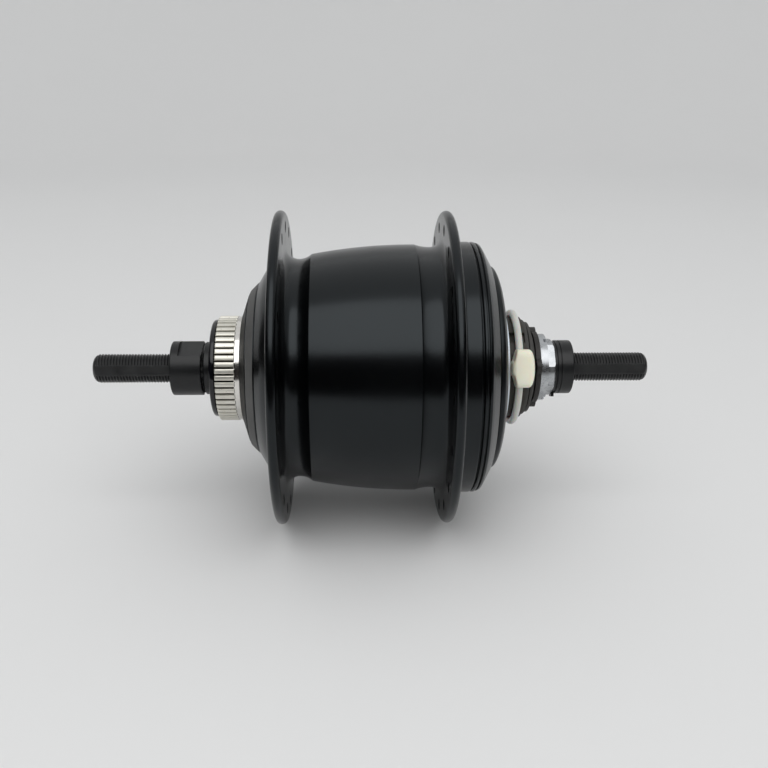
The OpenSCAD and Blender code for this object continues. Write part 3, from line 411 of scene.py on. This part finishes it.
oiled_steel = finish(
    "oiled_gear_steel", (0.20, 0.205, 0.21), (0.34, 0.345, 0.35), (0.20, 0.34), 240.0,
    ring=0.12, Metallic=1.0,
)
phosphate = finish(
    "phosphated_steel", (0.024, 0.022, 0.018), (0.050, 0.045, 0.037), (0.45, 0.62), 300.0,
    bump=0.3, bump_scale=3000.0, Metallic=0.3,
)
hard_steel = finish(
    "hardened_steel", (0.30, 0.31, 0.32), (0.46, 0.47, 0.48), (0.22, 0.38), 160.0, ring=0.2, Metallic=1.0,
)
dress(
    oiled_steel, "low_sun_gear", "sun_pawls", "low_ring_gear", "high_ring_gear",
    "high_sun_small", "high_sun_middle", "high_sun_large",
    *[f"{kind}_{i}" for kind in ("low_planet", "high_planet", "carrier_pawl") for i in (1, 2, 3)],
)
dress(phosphate, "carrier", "direct_clutch_ring")
dress(hard_steel, "planet_pins", "axle_circlip", "shift_return_spring", "clutch_rollers", "clutch_race")
bronze = finish(
    "cage_bronze", (0.36, 0.22, 0.09), (0.50, 0.32, 0.14), (0.28, 0.42), 260.0, Metallic=1.0,
)
dress(bronze, "clutch_cage")


# Bearings
# Three rows of polished balls in pressed steel cages carry the shell and the driver. A rubber lip
# keeps water out of the left row.

ball_steel = finish(
    "polished_balls", (0.62, 0.63, 0.64), (0.70, 0.71, 0.72), (0.05, 0.12), 400.0, Metallic=1.0,
)
dress(ball_steel, "left_balls", "right_outer_balls", "right_inner_balls")
dress(hard_steel, "left_ball_cage", "right_outer_cage", "right_inner_cage", "left_ball_cup")
rubber = finish(
    "seal_rubber", (0.030, 0.029, 0.026), (0.052, 0.050, 0.046), (0.50, 0.66), 260.0,
    bump=0.25, bump_scale=2400.0,
)
dress(rubber, "left_seal")


# Driver
# The driver carries the right bearings and takes the sprocket on a phosphated seat with three
# notches, at the end that shows under the shipping band.

dress(phosphate, "driver")


# Driver cap
# A deep-drawn cap, sprayed black, is pressed onto the neck of the driver and covers the right
# bearing with its dome.

driver_cover = turned(
    "driver_cover",
    [
        (37.7, 31.9, 0.1), (37.7, 33.9, 0.35), (39.15, 33.6, 0.6), (39.8, 32.4, 0.4), (40.35, 31.0, 0.4),
        (40.7, 29.0, 0.5), (41.15, 25.3, 0.9), (41.45, 21.9, 0.5), (41.45, 20.05, 0.1), (39.45, 20.05, 0),
        (39.45, 25.9, 0.3), (38.7, 29.9, 0.3),
    ],
    "driver", "driver_cap", segments=256,
)
cap_paint = finish(
    "cap_paint", (0.0010, 0.0011, 0.0013), (0.0026, 0.0028, 0.0032), (0.28, 0.36), 90.0,
    bump=0.08, bump_scale=1800.0, Specular_IOR_Level=0.31, Specular_Tint=(0.86, 0.95, 1.0, 1.0),
)
dress(cap_paint, driver_cover)


# Sprocket stop plate
# A washer stamped from steel sheet and zinc-plated with a blue tint. It is pressed onto the sprocket
# seat of the driver as far as the cap, and the sprocket stops at it.

stop_plate = turned(
    "stop_plate",
    [(41.5, 16.9, 0.1), (41.5, 20.5, 0.3), (42.8, 20.5, 0.3), (42.8, 16.9, 0.1)],
    "driver", "sprocket_stop_plate",
)
zinc_plate = finish(
    "zinc_plate", (0.72, 0.79, 0.85), (0.82, 0.87, 0.91), (0.46, 0.58), 200.0, Metallic=0.7,
)
dress(zinc_plate, stop_plate)


# Driver end seal
# A ring moulded from rubber is pushed onto the end of the driver and closes the gap to the right
# cone. Its three ridges step down outwards.

end_seal = turned(
    "end_seal",
    [
        (48.65, 9.4, 0), (48.65, 15.9, 0.3), (49.9, 15.9, 0.3), (49.9, 14.4, 0.1), (50.25, 14.4, 0.1),
        (50.25, 15.1, 0.25), (51.3, 15.1, 0.25), (51.3, 11.6, 0.1), (51.55, 11.6, 0.1),
        (51.55, 12.2, 0.2), (52.3, 12.2, 0.25), (52.3, 9.4, 0),
    ],
    "driver", "driver_end_seal",
)
dress(rubber, end_seal)


# Shifter
# A long steel sleeve round the axle lifts and frees the sun pawls, and a browned ring with lobes
# outside the right cone turns it with the cable.

shift_black = finish(
    "browned_ring", (0.017, 0.0155, 0.0145), (0.034, 0.031, 0.029), (0.42, 0.58), 260.0,
    bump=0.25, bump_scale=2400.0, Metallic=0.3,
)
dress(hard_steel, "shift_sleeve")
dress(shift_black, "shift_ring")


# Right cone
# The right cone is turned from steel and bright zinc-plated. Its collar seats the shifter unit and
# its four flats take the wrench.

zinc_bright = finish(
    "bright_zinc", (0.33, 0.345, 0.36), (0.58, 0.595, 0.61), (0.20, 0.38), 420.0, ring=0.3,
    speck=((0.18, 0.16, 0.15), 1100.0, 0.16), Metallic=1.0,
)
dress(zinc_bright, "right_cone")


# Right lock washer and locknut
# A tabbed steel washer keeps the round locknut from working loose. Both are blackened, and the nut
# has a narrow groove beside the washer.

right_nut = turned(
    "right_nut",
    [
        (60.6, NUT_BORE, 0.1), (60.6, NUT_R, 0.3), (61.7, NUT_R, 0.1), (61.75, 8.65, 0), (61.95, 8.65, 0),
        (62.0, NUT_R, 0.1), (NUT_FACE, NUT_R, 0.5), (NUT_FACE, NUT_BORE, 0.15),
    ],
    "axle", "right_locknut",
)
dress(nut_black, right_nut, "right_lock_washer")


# Shipping band
# A ring of cream plastic with a knob lies on the sprocket seat until a sprocket is fitted. It is
# moulded in one piece, slightly translucent and soft to the touch.

BAND_X, BAND_R, CORD_R, CORD_STEPS, BAND_STEPS = 46.2, 18.12, 1.15, 32, 192
cord_turn = np.linspace(0, 2 * np.pi, CORD_STEPS, endpoint=False)
band_ring = surface(
    "band_ring",
    around_axle(BAND_X - CORD_R * np.cos(cord_turn), BAND_R + CORD_R * np.sin(cord_turn), BAND_STEPS),
    "driver", closed_rows=True,
)
KNOB_AT, KNOB_LEFT, KNOB_RIGHT, KNOB_LOW, KNOB_HIGH = math.radians(161.5), 43.05, 50.25, 17.05, 23.12
KNOB_HALF, KNOB_ROUND, KNOB_BULGE, KNOB_ROWS, KNOB_STEPS = 6.02, 1.4, 1.0, 60, 96
STEM_HALF, STEM_LENGTH, SHOULDER_LENGTH, SQUARE_POWER = 2.7, 0.5, 1.3, 0.4


def knob_points():
    """Drum of the knob: along the axle its half height grows from the stem to the full size, and both
    half sizes shrink at the ends by a quarter circle. Across, each ring is a rounded square with
    |height|^5 + |depth|^5 constant, and the far end draws back with the square of the height. The
    whole is turned to the front of the hub."""
    length, mid = KNOB_RIGHT - KNOB_LEFT, (KNOB_LOW + KNOB_HIGH) / 2
    x = KNOB_LEFT + length * (1 - np.cos(np.linspace(0, np.pi, KNOB_ROWS))) / 2
    grow = np.clip((x - KNOB_LEFT - STEM_LENGTH) / SHOULDER_LENGTH, 0, 1)
    half = STEM_HALF + (KNOB_HALF - STEM_HALF) * grow**2 * (3 - 2 * grow)
    inset = np.maximum(np.abs(x - KNOB_LEFT - length / 2) - length / 2 + KNOB_ROUND, 0)
    drop = KNOB_ROUND - np.sqrt(np.maximum(KNOB_ROUND**2 - inset**2, 0))
    v = np.linspace(0, 2 * np.pi, KNOB_STEPS, endpoint=False)
    wide = np.sign(np.cos(v)) * np.abs(np.cos(v)) ** SQUARE_POWER
    deep = np.sign(np.sin(v)) * np.abs(np.sin(v)) ** SQUARE_POWER
    across = (half - drop)[:, None] * wide
    out = mid + ((KNOB_HIGH - KNOB_LOW) / 2 - drop)[:, None] * deep
    far = (x[:, None] - KNOB_LEFT) / length
    place = x[:, None] - KNOB_BULGE * far**2 * (across / KNOB_HALF) ** 2
    end = np.ones((1, len(v)))
    place = np.concatenate([KNOB_LEFT * end, place, KNOB_RIGHT * end])
    across = np.concatenate([0 * end, across, 0 * end])
    out = np.concatenate([mid * end, out, mid * end])
    c, s = math.cos(KNOB_AT), math.sin(KNOB_AT)
    return np.stack([place, out * c - across * s, out * s + across * c], -1)


band_knob = surface("band_knob", knob_points(), "driver", sharp=70.0)
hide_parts("shipping_band")
cream = finish(
    "cream_plastic", (0.87, 0.85, 0.67), (0.93, 0.91, 0.77), (0.32, 0.44), 110.0,
    bump=0.05, bump_scale=1200.0, Subsurface_Weight=0.3, Subsurface_Scale=0.003,
)
clear_cream = finish(
    "clear_cream", (0.60, 0.62, 0.58), (0.72, 0.74, 0.70), (0.28, 0.40), 130.0,
    bump=0.05, bump_scale=1200.0, Subsurface_Weight=0.4, Subsurface_Scale=0.003,
)
dress(cream, band_knob)
dress(clear_cream, band_ring)


# Hub shell
# The shell is one aluminium casting, turned on its seats and sprayed satin black. Its barrel is
# crowned, and each flange is drilled for eighteen spokes with the hole edges broken.

FLANGE_R, RIM, FLANGES, SHELL_STEPS = 51.57, 1.6, (-29.8, 23.85), 256
COVE_R, COVE_LEFT, COVE_RIGHT, COVE_END = 35.95, 4.1, 6.17, 312.9
BARREL_X, BARREL_R, BARREL_LENGTH, BARREL_RISE, BARREL_BULGE = -19.9, 37.6, 33.5, 3.1, 3.2
NECK_X, NECK_R, NECK_LENGTH, NECK_FALL, NECK_POWER = 13.66, 39.87, 4.9, 0.79, 2.2
SHELL_END, SHELL_END_R, FILL_R, END_FILL_R = 31.4, 41.6, 3.5, 1.8


def arc(x, r, size, start, end, steps):
    """Points of an arc round a middle at place x and distance r, between two angles in degrees, with a
    softening of none."""
    a = np.radians(np.linspace(start, end, steps))
    return np.stack([x + size * np.cos(a), r + size * np.sin(a), 0 * a], 1)


def shell_outline():
    """Closed outline of the shell: dome in three rings, flange, cove as two arcs, barrel as a cone with a
    parabola on top, neck as a fading power of the place, flange, shell end, then back through the bore."""
    left_in, right_in, right_out = FLANGES[0] + RIM, FLANGES[1] - RIM, FLANGES[1] + RIM
    cove_x, rim_r = left_in + COVE_LEFT, FLANGE_R - RIM
    t, u = np.linspace(0, 1, 49)[1:], np.linspace(0, 1, 17)
    barrel_r = BARREL_R + BARREL_RISE * t + BARREL_BULGE * t * (1 - t)
    barrel = np.stack([BARREL_X + BARREL_LENGTH * t, barrel_r, 0 * t], 1)
    neck = np.stack([NECK_X + NECK_LENGTH * u, NECK_R + NECK_FALL * (1 - u) ** NECK_POWER, 0 * u], 1)
    return np.concatenate([
        [(-42.4, 16.7, 0), (-42.4, 18.3, 0.15), (-42.1, 19.0, 0.3), (-40.1, 25.0, 0.15),
         (-39.5, 25.05, 0.1), (-39.55, 25.5, 0.1), (-39.75, 25.75, 0.15), (-37.3, 28.25, 0.2),
         (-36.9, 28.15, 0.1), (-36.7, 28.75, 0.15), (-34.5, 32.5, 1.2), (-31.4, 36.3, 1.2)],
        arc(FLANGES[0], rim_r, RIM, 180, 0, 21),
        arc(cove_x, COVE_R + COVE_LEFT, COVE_LEFT, 180, 270, 16)[1:-1],
        arc(cove_x, COVE_R + COVE_RIGHT, COVE_RIGHT, 270, COVE_END, 14)[:-1],
        [(BARREL_X, BARREL_R, 0.25)], barrel, neck,
        arc(right_in - FILL_R, NECK_R + FILL_R, FILL_R, -90, 0, 14),
        arc(FLANGES[1], rim_r, RIM, 180, 0, 21),
        arc(right_out + END_FILL_R, SHELL_END_R + END_FILL_R, END_FILL_R, 180, 270, 9),
        [(SHELL_END, SHELL_END_R, 0.6), (SHELL_END, 37.6, 0), (20.4, 37.6, 0), (20.4, 35.05, 0),
         (2.7, 35.05, 0), (2.7, 33.55, 0), (-29.2, 33.55, 0), (-29.2, 27.55, 0), (-34.3, 19.1, 0),
         (-34.3, 16.7, 0)],
    ])


shell_line = soften(shell_outline())
hub_body = surface(
    "hub_body", around_axle(shell_line[:, 0], shell_line[:, 1], SHELL_STEPS), "shell", closed_rows=True
)
HOLES, HOLE_CIRCLE, HOLE_R, HOLE_FIRST, HOLE_STEPS = 18, 46.4, 1.45, 2.0, 28
CUTTER_REACH, CUTTER_STRAIGHT = 2.6, 1.2


def hole_cutters():
    """One closed mesh of all spoke hole cutters: each is a round bar that flares where it leaves the
    flange, its ring of points repeated for every hole by turning it round the axle."""
    along = np.array([-1, -1, 0, 0, 1, 1]) * (CUTTER_REACH - CUTTER_STRAIGHT)
    wide = (HOLE_R + np.abs(along)) * (0, 1, 1, 1, 1, 0)
    along = along + CUTTER_STRAIGHT * np.array([-1, -1, -1, 1, 1, 1])
    a = np.linspace(0, 2 * np.pi, HOLE_STEPS, endpoint=False)
    bar_x = np.repeat(along[:, None], len(a), 1)
    bar_y, bar_z = HOLE_CIRCLE + wide[:, None] * np.cos(a), wide[:, None] * np.sin(a)
    pitch = 360 / HOLES
    turns = np.radians(HOLE_FIRST + pitch * np.arange(HOLES))
    turn = np.concatenate([turns, turns + np.radians(pitch / 2)])[:, None, None]
    x = bar_x + np.repeat(FLANGES, HOLES)[:, None, None]
    y, z = bar_y * np.cos(turn) - bar_z * np.sin(turn), bar_y * np.sin(turn) + bar_z * np.cos(turn)
    one = grid_faces(len(along), len(a)).reshape(1, -1, 4)
    faces = one + (np.arange(2 * HOLES) * bar_x.size)[:, None, None]
    return clean_mesh("hole_cutters", np.stack([x, y, z], -1), faces)


cutters = bpy.data.objects.new("hole_cutters", hole_cutters())
bpy.context.scene.collection.objects.link(cutters)
drill = hub_body.modifiers.new("drill", "BOOLEAN")
drill.object = cutters
drill.solver = "EXACT"
drilled = bpy.data.meshes.new_from_object(hub_body.evaluated_get(bpy.context.evaluated_depsgraph_get()))
hub_body.modifiers.clear()
hub_body.data = drilled
shade(drilled, 30.0)
bpy.data.objects.remove(cutters)
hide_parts("hub_shell")
paint = finish(
    "satin_black_paint", (0.0003, 0.0004, 0.0006), (0.0008, 0.0010, 0.0013), (0.19, 0.24), 45.0,
    bump=0.03, bump_scale=1400.0, speck=((0.05, 0.05, 0.05), 240.0, 0.035),
    Specular_IOR_Level=0.37, Specular_Tint=(0.86, 0.95, 1.0, 1.0),
)
dress(paint, hub_body)

# The dome is bare and matt next to the spline, and a grey seal ring is pressed into its middle. The
# walls and broken edges of the spoke holes are near black and hardly reflect: painted shade in the holes.
matt_black = finish(
    "matt_black", (0.0010, 0.0011, 0.0016), (0.0030, 0.0032, 0.0042), (0.42, 0.54), 120.0,
    bump=0.1, bump_scale=1800.0, Specular_IOR_Level=0.2,
)
ring_grey = finish(
    "ring_grey", (0.060, 0.060, 0.059), (0.105, 0.104, 0.102), (0.44, 0.56), 90.0,
    bump=0.1, bump_scale=1800.0, ring=0.2, Specular_IOR_Level=0.3,
)
# Near black with hardly any reflection: painted shade inside the spoke holes.
hole_wall_painted_shade = finish(
    "hole_wall_painted_shade", (0.0003, 0.0003, 0.0004), (0.0009, 0.0009, 0.0011), (0.60, 0.72), 300.0,
    Specular_IOR_Level=0.06,
)
for part_finish in (matt_black, ring_grey, hole_wall_painted_shade):
    drilled.materials.append(part_finish)


def face_rows(mesh, kind):
    """Centres or normals of all faces of a mesh, one row for each."""
    rows = np.empty((len(mesh.polygons), 3))
    mesh.polygons.foreach_get(kind, rows.ravel())
    return rows


STRIP_END, STRIP_R, SEAL_FROM, SEAL_TO, SEAL_R = -39.95, 18.2, -39.8, -37.2, 25.55
HOLE_BREAK, WALL_LEAN = 0.6, 0.9
middle = face_rows(drilled, "center") / MM
place, reach = middle[:, 0], np.hypot(middle[:, 1], middle[:, 2])
strip = (place < STRIP_END) & (reach > STRIP_R)
seal_ring = (place > SEAL_FROM) & (place < SEAL_TO) & (reach > SEAL_R)
upright = np.abs(face_rows(drilled, "normal")[:, 0]) < WALL_LEAN
# Hole walls and broken hole edges take the painted shade.
hole_shade_faces = (np.abs(reach - HOLE_CIRCLE) < HOLE_R + HOLE_BREAK) & upright
drilled.polygons.foreach_set("material_index", (strip + 2 * seal_ring + 3 * hole_shade_faces).astype(np.int32))


# Right ball cup
# The cup of the right bearing is pressed into the shell end. Its collar shows outside, painted with
# the shell and parted by two turned grooves.

ball_collar = turned(
    "ball_collar",
    [
        (20.6, 32.6, 0), (20.6, 37.55, 0), (31.45, 37.55, 0), (31.45, 40.4, 0), (31.75, 40.4, 0),
        (31.75, 41.3, 0.2), (32.2, 41.58, 0.2), (32.85, 41.5, 0.2), (32.9, 40.0, 0.1), (33.5, 40.0, 0.1),
        (33.5, 41.3, 0.2), (34.3, 41.0, 0.3), (35.1, 39.7, 0.2), (37.35, 35.6, 0.2), (37.35, 32.6, 0),
        (29.42, 32.6, 0), (29.3, 33.4, 0), (27.4, 33.86, 0), (26.4, 33.86, 0), (24.5, 33.4, 0),
        (24.38, 32.6, 0),
    ],
    "shell", "right_ball_cup", segments=256,
)
dress(paint, ball_collar)


# Disc spline
# The brake disc slides onto a nickel-plated toothed collar. Its teeth are bright on top, and the
# grooves between them are painted dark: painted shade in the grooves.

SPLINE_R, SPLINE_DEPTH, SPLINE_TEETH, SPLINE_FIRST, TOOTH_STEPS = 17.35, 0.9, 50, math.radians(1.2), 20
SPLINE_GAP, SPLINE_FLANK, SPLINE_CROWN, TOOTH_END = 0.16, 0.08, 0.10, -44.2


def spline_points():
    """Toothed ring: along the teeth the radius is a root circle plus the depth times a trapezium wave of
    the turn with a slightly round top, and elsewhere it follows the plain outline of the ring."""
    a = np.linspace(0, 2 * np.pi, SPLINE_TEETH * TOOTH_STEPS, endpoint=False)
    phase = ((a - SPLINE_FIRST) * SPLINE_TEETH / (2 * np.pi)) % 1
    rise = np.clip((phase - SPLINE_GAP) / SPLINE_FLANK, 0, 1) * np.clip((1 - phase) / SPLINE_FLANK, 0, 1)
    centre, half_top = (1 + SPLINE_GAP) / 2, (1 - SPLINE_GAP) / 2 - SPLINE_FLANK
    top = 1 - SPLINE_CROWN * np.clip(np.abs(phase - centre) / half_top, 0, 1) ** 2
    bare = SPLINE_R - SPLINE_DEPTH
    tooth = bare + SPLINE_DEPTH * rise * top
    x = np.array([-50.3, -50.3, -50.22, -50.0, -49.6, -44.6, -44.3, -44.29, -44.15, -44.0, -43.7, -42.7,
                  -42.5, -42.45, -42.45, -40.7, -40.7, -49.3])
    plain = np.array([15.3, 16.2, 16.3, 16.45, 16.45, 16.45, 16.45, 16.95, 17.1, 17.15, 17.15, 17.15,
                      17.12, 17.05, 16.65, 16.65, 14.55, 14.55])
    lift = np.array([0, 0.55, 0.8, 1, 1, 1, 1, 1, 1, 0, 0, 0, 0, 0, 0, 0, 0, 0])
    lifted = bare + (tooth[None, :] - bare) * lift[:, None]
    r = np.maximum(plain[:, None], lifted * (lift[:, None] > 0))
    return around_axle(x, r, len(a))


spline_ring = surface("spline_ring", spline_points(), "shell", closed_rows=True, sharp=35.0)
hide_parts("disc_spline_ring")
nickel = finish(
    "bright_nickel", (0.66, 0.64, 0.60), (0.84, 0.82, 0.79), (0.10, 0.18), 300.0, ring=0.12,
    speck=((0.22, 0.17, 0.13), 700.0, 0.10), Metallic=1.0,
)
# The teeth take a rougher nickel, painted dark nearer the axle than the tooth middles: painted shade in
# the grooves.
dull_nickel_groove_shade = finish(
    "dull_nickel_groove_shade", (0.72, 0.70, 0.62), (0.88, 0.86, 0.79), (0.36, 0.50), 300.0, ring=0.12,
    speck=((0.22, 0.17, 0.13), 700.0, 0.13), below=((0.030, 0.022, 0.017), 16.85, 0.2), Metallic=1.0,
)
dress(nickel, spline_ring)
spline_ring.data.materials.append(dull_nickel_groove_shade)
toothed = face_rows(spline_ring.data, "center")[:, 0] < TOOTH_END * MM
spline_ring.data.polygons.foreach_set("material_index", toothed.astype(np.int32))


# Studio
# The hub stands on its flanges on a seamless pale sheet that rises all round it in a bright room. A
# wide soft box hangs in front above the lens, and the dark of the room reaches up to its lower edge.

FLOOR_Z, SHEET_REACH, SHEET_BEND, SHEET_TOP = -51.62, 900.0, 700.0, 1100.0
CARD_TOP, CARD_REACH, CARD_STRETCH, CARD_FROM, CARD_TO = 255.0, 430.0, 1.2, -214.0, 25.0


def panel(name, x, y, z):
    """Open sheet of quads over a grid, with x, y and z as arrays that spread to its rows and columns."""
    points = np.stack(np.broadcast_arrays(x, y, z), -1)
    rows, columns = points.shape[:2]
    r, c = np.meshgrid(np.arange(rows - 1), np.arange(columns - 1), indexing="ij")
    at = r * columns + c
    mesh = bpy.data.meshes.new(name)
    mesh.from_pydata(
        points.reshape(-1, 3) * MM, [],
        np.stack([at, at + 1, at + columns + 1, at + columns], -1).reshape(-1, 4),
    )
    mesh.polygons.foreach_set("use_smooth", np.ones(len(mesh.polygons), bool))
    made = bpy.data.objects.new(name, mesh)
    bpy.context.scene.collection.objects.link(made)
    return made


bend, round_turn = np.linspace(0, np.pi / 2, 40), np.linspace(0, 2 * np.pi, 145)[None, :]
sheet_wall = SHEET_REACH + SHEET_BEND
sheet_r = np.concatenate([[0.0], SHEET_REACH + SHEET_BEND * np.sin(bend), [sheet_wall]])[:, None]
sheet_z = np.concatenate([[0.0], SHEET_BEND * (1 - np.cos(bend)), [SHEET_TOP]])[:, None]
pale_sheet = panel(
    "pale_sheet", sheet_r * np.cos(round_turn), sheet_r * np.sin(round_turn), sheet_z + FLOOR_Z
)
dress(finish("sheet_white", (0.80, 0.80, 0.80), (0.82, 0.82, 0.818), (0.8, 0.9), 2.0), pale_sheet)
card_turn = np.radians(np.linspace(CARD_FROM, CARD_TO, 60))[:, None]
dark_card = panel(
    "dark_card", CARD_REACH * CARD_STRETCH * np.cos(card_turn), CARD_REACH * np.sin(card_turn),
    np.array([[FLOOR_Z, CARD_TOP]]),
)
dark_card.visible_camera = dark_card.visible_diffuse = dark_card.visible_shadow = False
dress(finish("card_dark", (0.016, 0.013, 0.012), (0.026, 0.022, 0.020), (0.7, 0.9), 6.0), dark_card)

BOX_LOW, BOX_HIGH, BOX_WIDTH, BOX_GLOW = (-763.0, 477.0), (-150.0, 1150.0), 1300.0, 1.28
box_rise = Vector((0, BOX_HIGH[0] - BOX_LOW[0], BOX_HIGH[1] - BOX_LOW[1]))
soft_box = bpy.data.lights.new("soft_box", "AREA")
soft_box.shape = "RECTANGLE"
soft_box.size, soft_box.size_y = BOX_WIDTH * MM, box_rise.length * MM
soft_box.energy = BOX_GLOW * math.pi * soft_box.size * soft_box.size_y
box_stand = bpy.data.objects.new("soft_box", soft_box)
bpy.context.scene.collection.objects.link(box_stand)
box_face = Vector((0, box_rise.z, -box_rise.y))
box_stand.matrix_world = (
    Matrix.Translation(Vector((0, BOX_LOW[0] + BOX_HIGH[0], BOX_LOW[1] + BOX_HIGH[1])) * MM / 2)
    @ box_face.to_track_quat("-Z", "Y").to_matrix().to_4x4()
)

# The room is brighter in front and behind than to the sides: its glow fades with the square of X.
ROOM_AHEAD, ROOM_ASIDE = 0.71, 0.40
world = bpy.data.worlds.new("studio")
bpy.context.scene.world = world
world.use_nodes = True
room = world.node_tree.nodes["Background"]
room.inputs["Color"].default_value = (0.985, 0.995, 1.0, 1)
way = node(world.node_tree, "ShaderNodeTexCoord")
parts = node(world.node_tree, "ShaderNodeSeparateXYZ", [("Vector", way.outputs["Generated"])])
aside = maths(world.node_tree, "MULTIPLY", parts.outputs["X"], parts.outputs["X"])
fade = node(
    world.node_tree, "ShaderNodeMapRange", [("Value", aside)], To_Min=ROOM_AHEAD, To_Max=ROOM_ASIDE
)
world.node_tree.links.new(fade.outputs["Result"], room.inputs["Strength"])


# Camera
# A lens of about 43 mm, 31 cm from the axle and twenty degrees above it, turned a little to the
# right and levelled on the axle.

CAMERA_REACH, CAMERA_HEIGHT, CAMERA_X = 307.1, math.radians(20.0), -7.4
AIM_X, AIM_DROP, CAMERA_ROLL, LENS, SENSOR = 3.75, 5.575, math.radians(0.54), 43.03, 36.0
camera_data = bpy.data.cameras.new("camera")
camera_data.lens = LENS
camera_data.sensor_width = SENSOR
camera_data.clip_start = 0.01
camera = bpy.data.objects.new("camera", camera_data)
bpy.context.scene.collection.objects.link(camera)
bpy.context.scene.camera = camera
stand = Vector((CAMERA_X, -CAMERA_REACH * math.cos(CAMERA_HEIGHT), CAMERA_REACH * math.sin(CAMERA_HEIGHT)))
aim = Vector((AIM_X, -AIM_DROP * math.sin(CAMERA_HEIGHT), -AIM_DROP * math.cos(CAMERA_HEIGHT)))
turn = (aim - stand).to_track_quat("-Z", "Y").to_matrix().to_4x4()
camera.matrix_world = Matrix.Translation(stand * MM) @ turn @ Matrix.Rotation(CAMERA_ROLL, 4, "Z")
bpy.context.scene.view_settings.view_transform = "Standard"
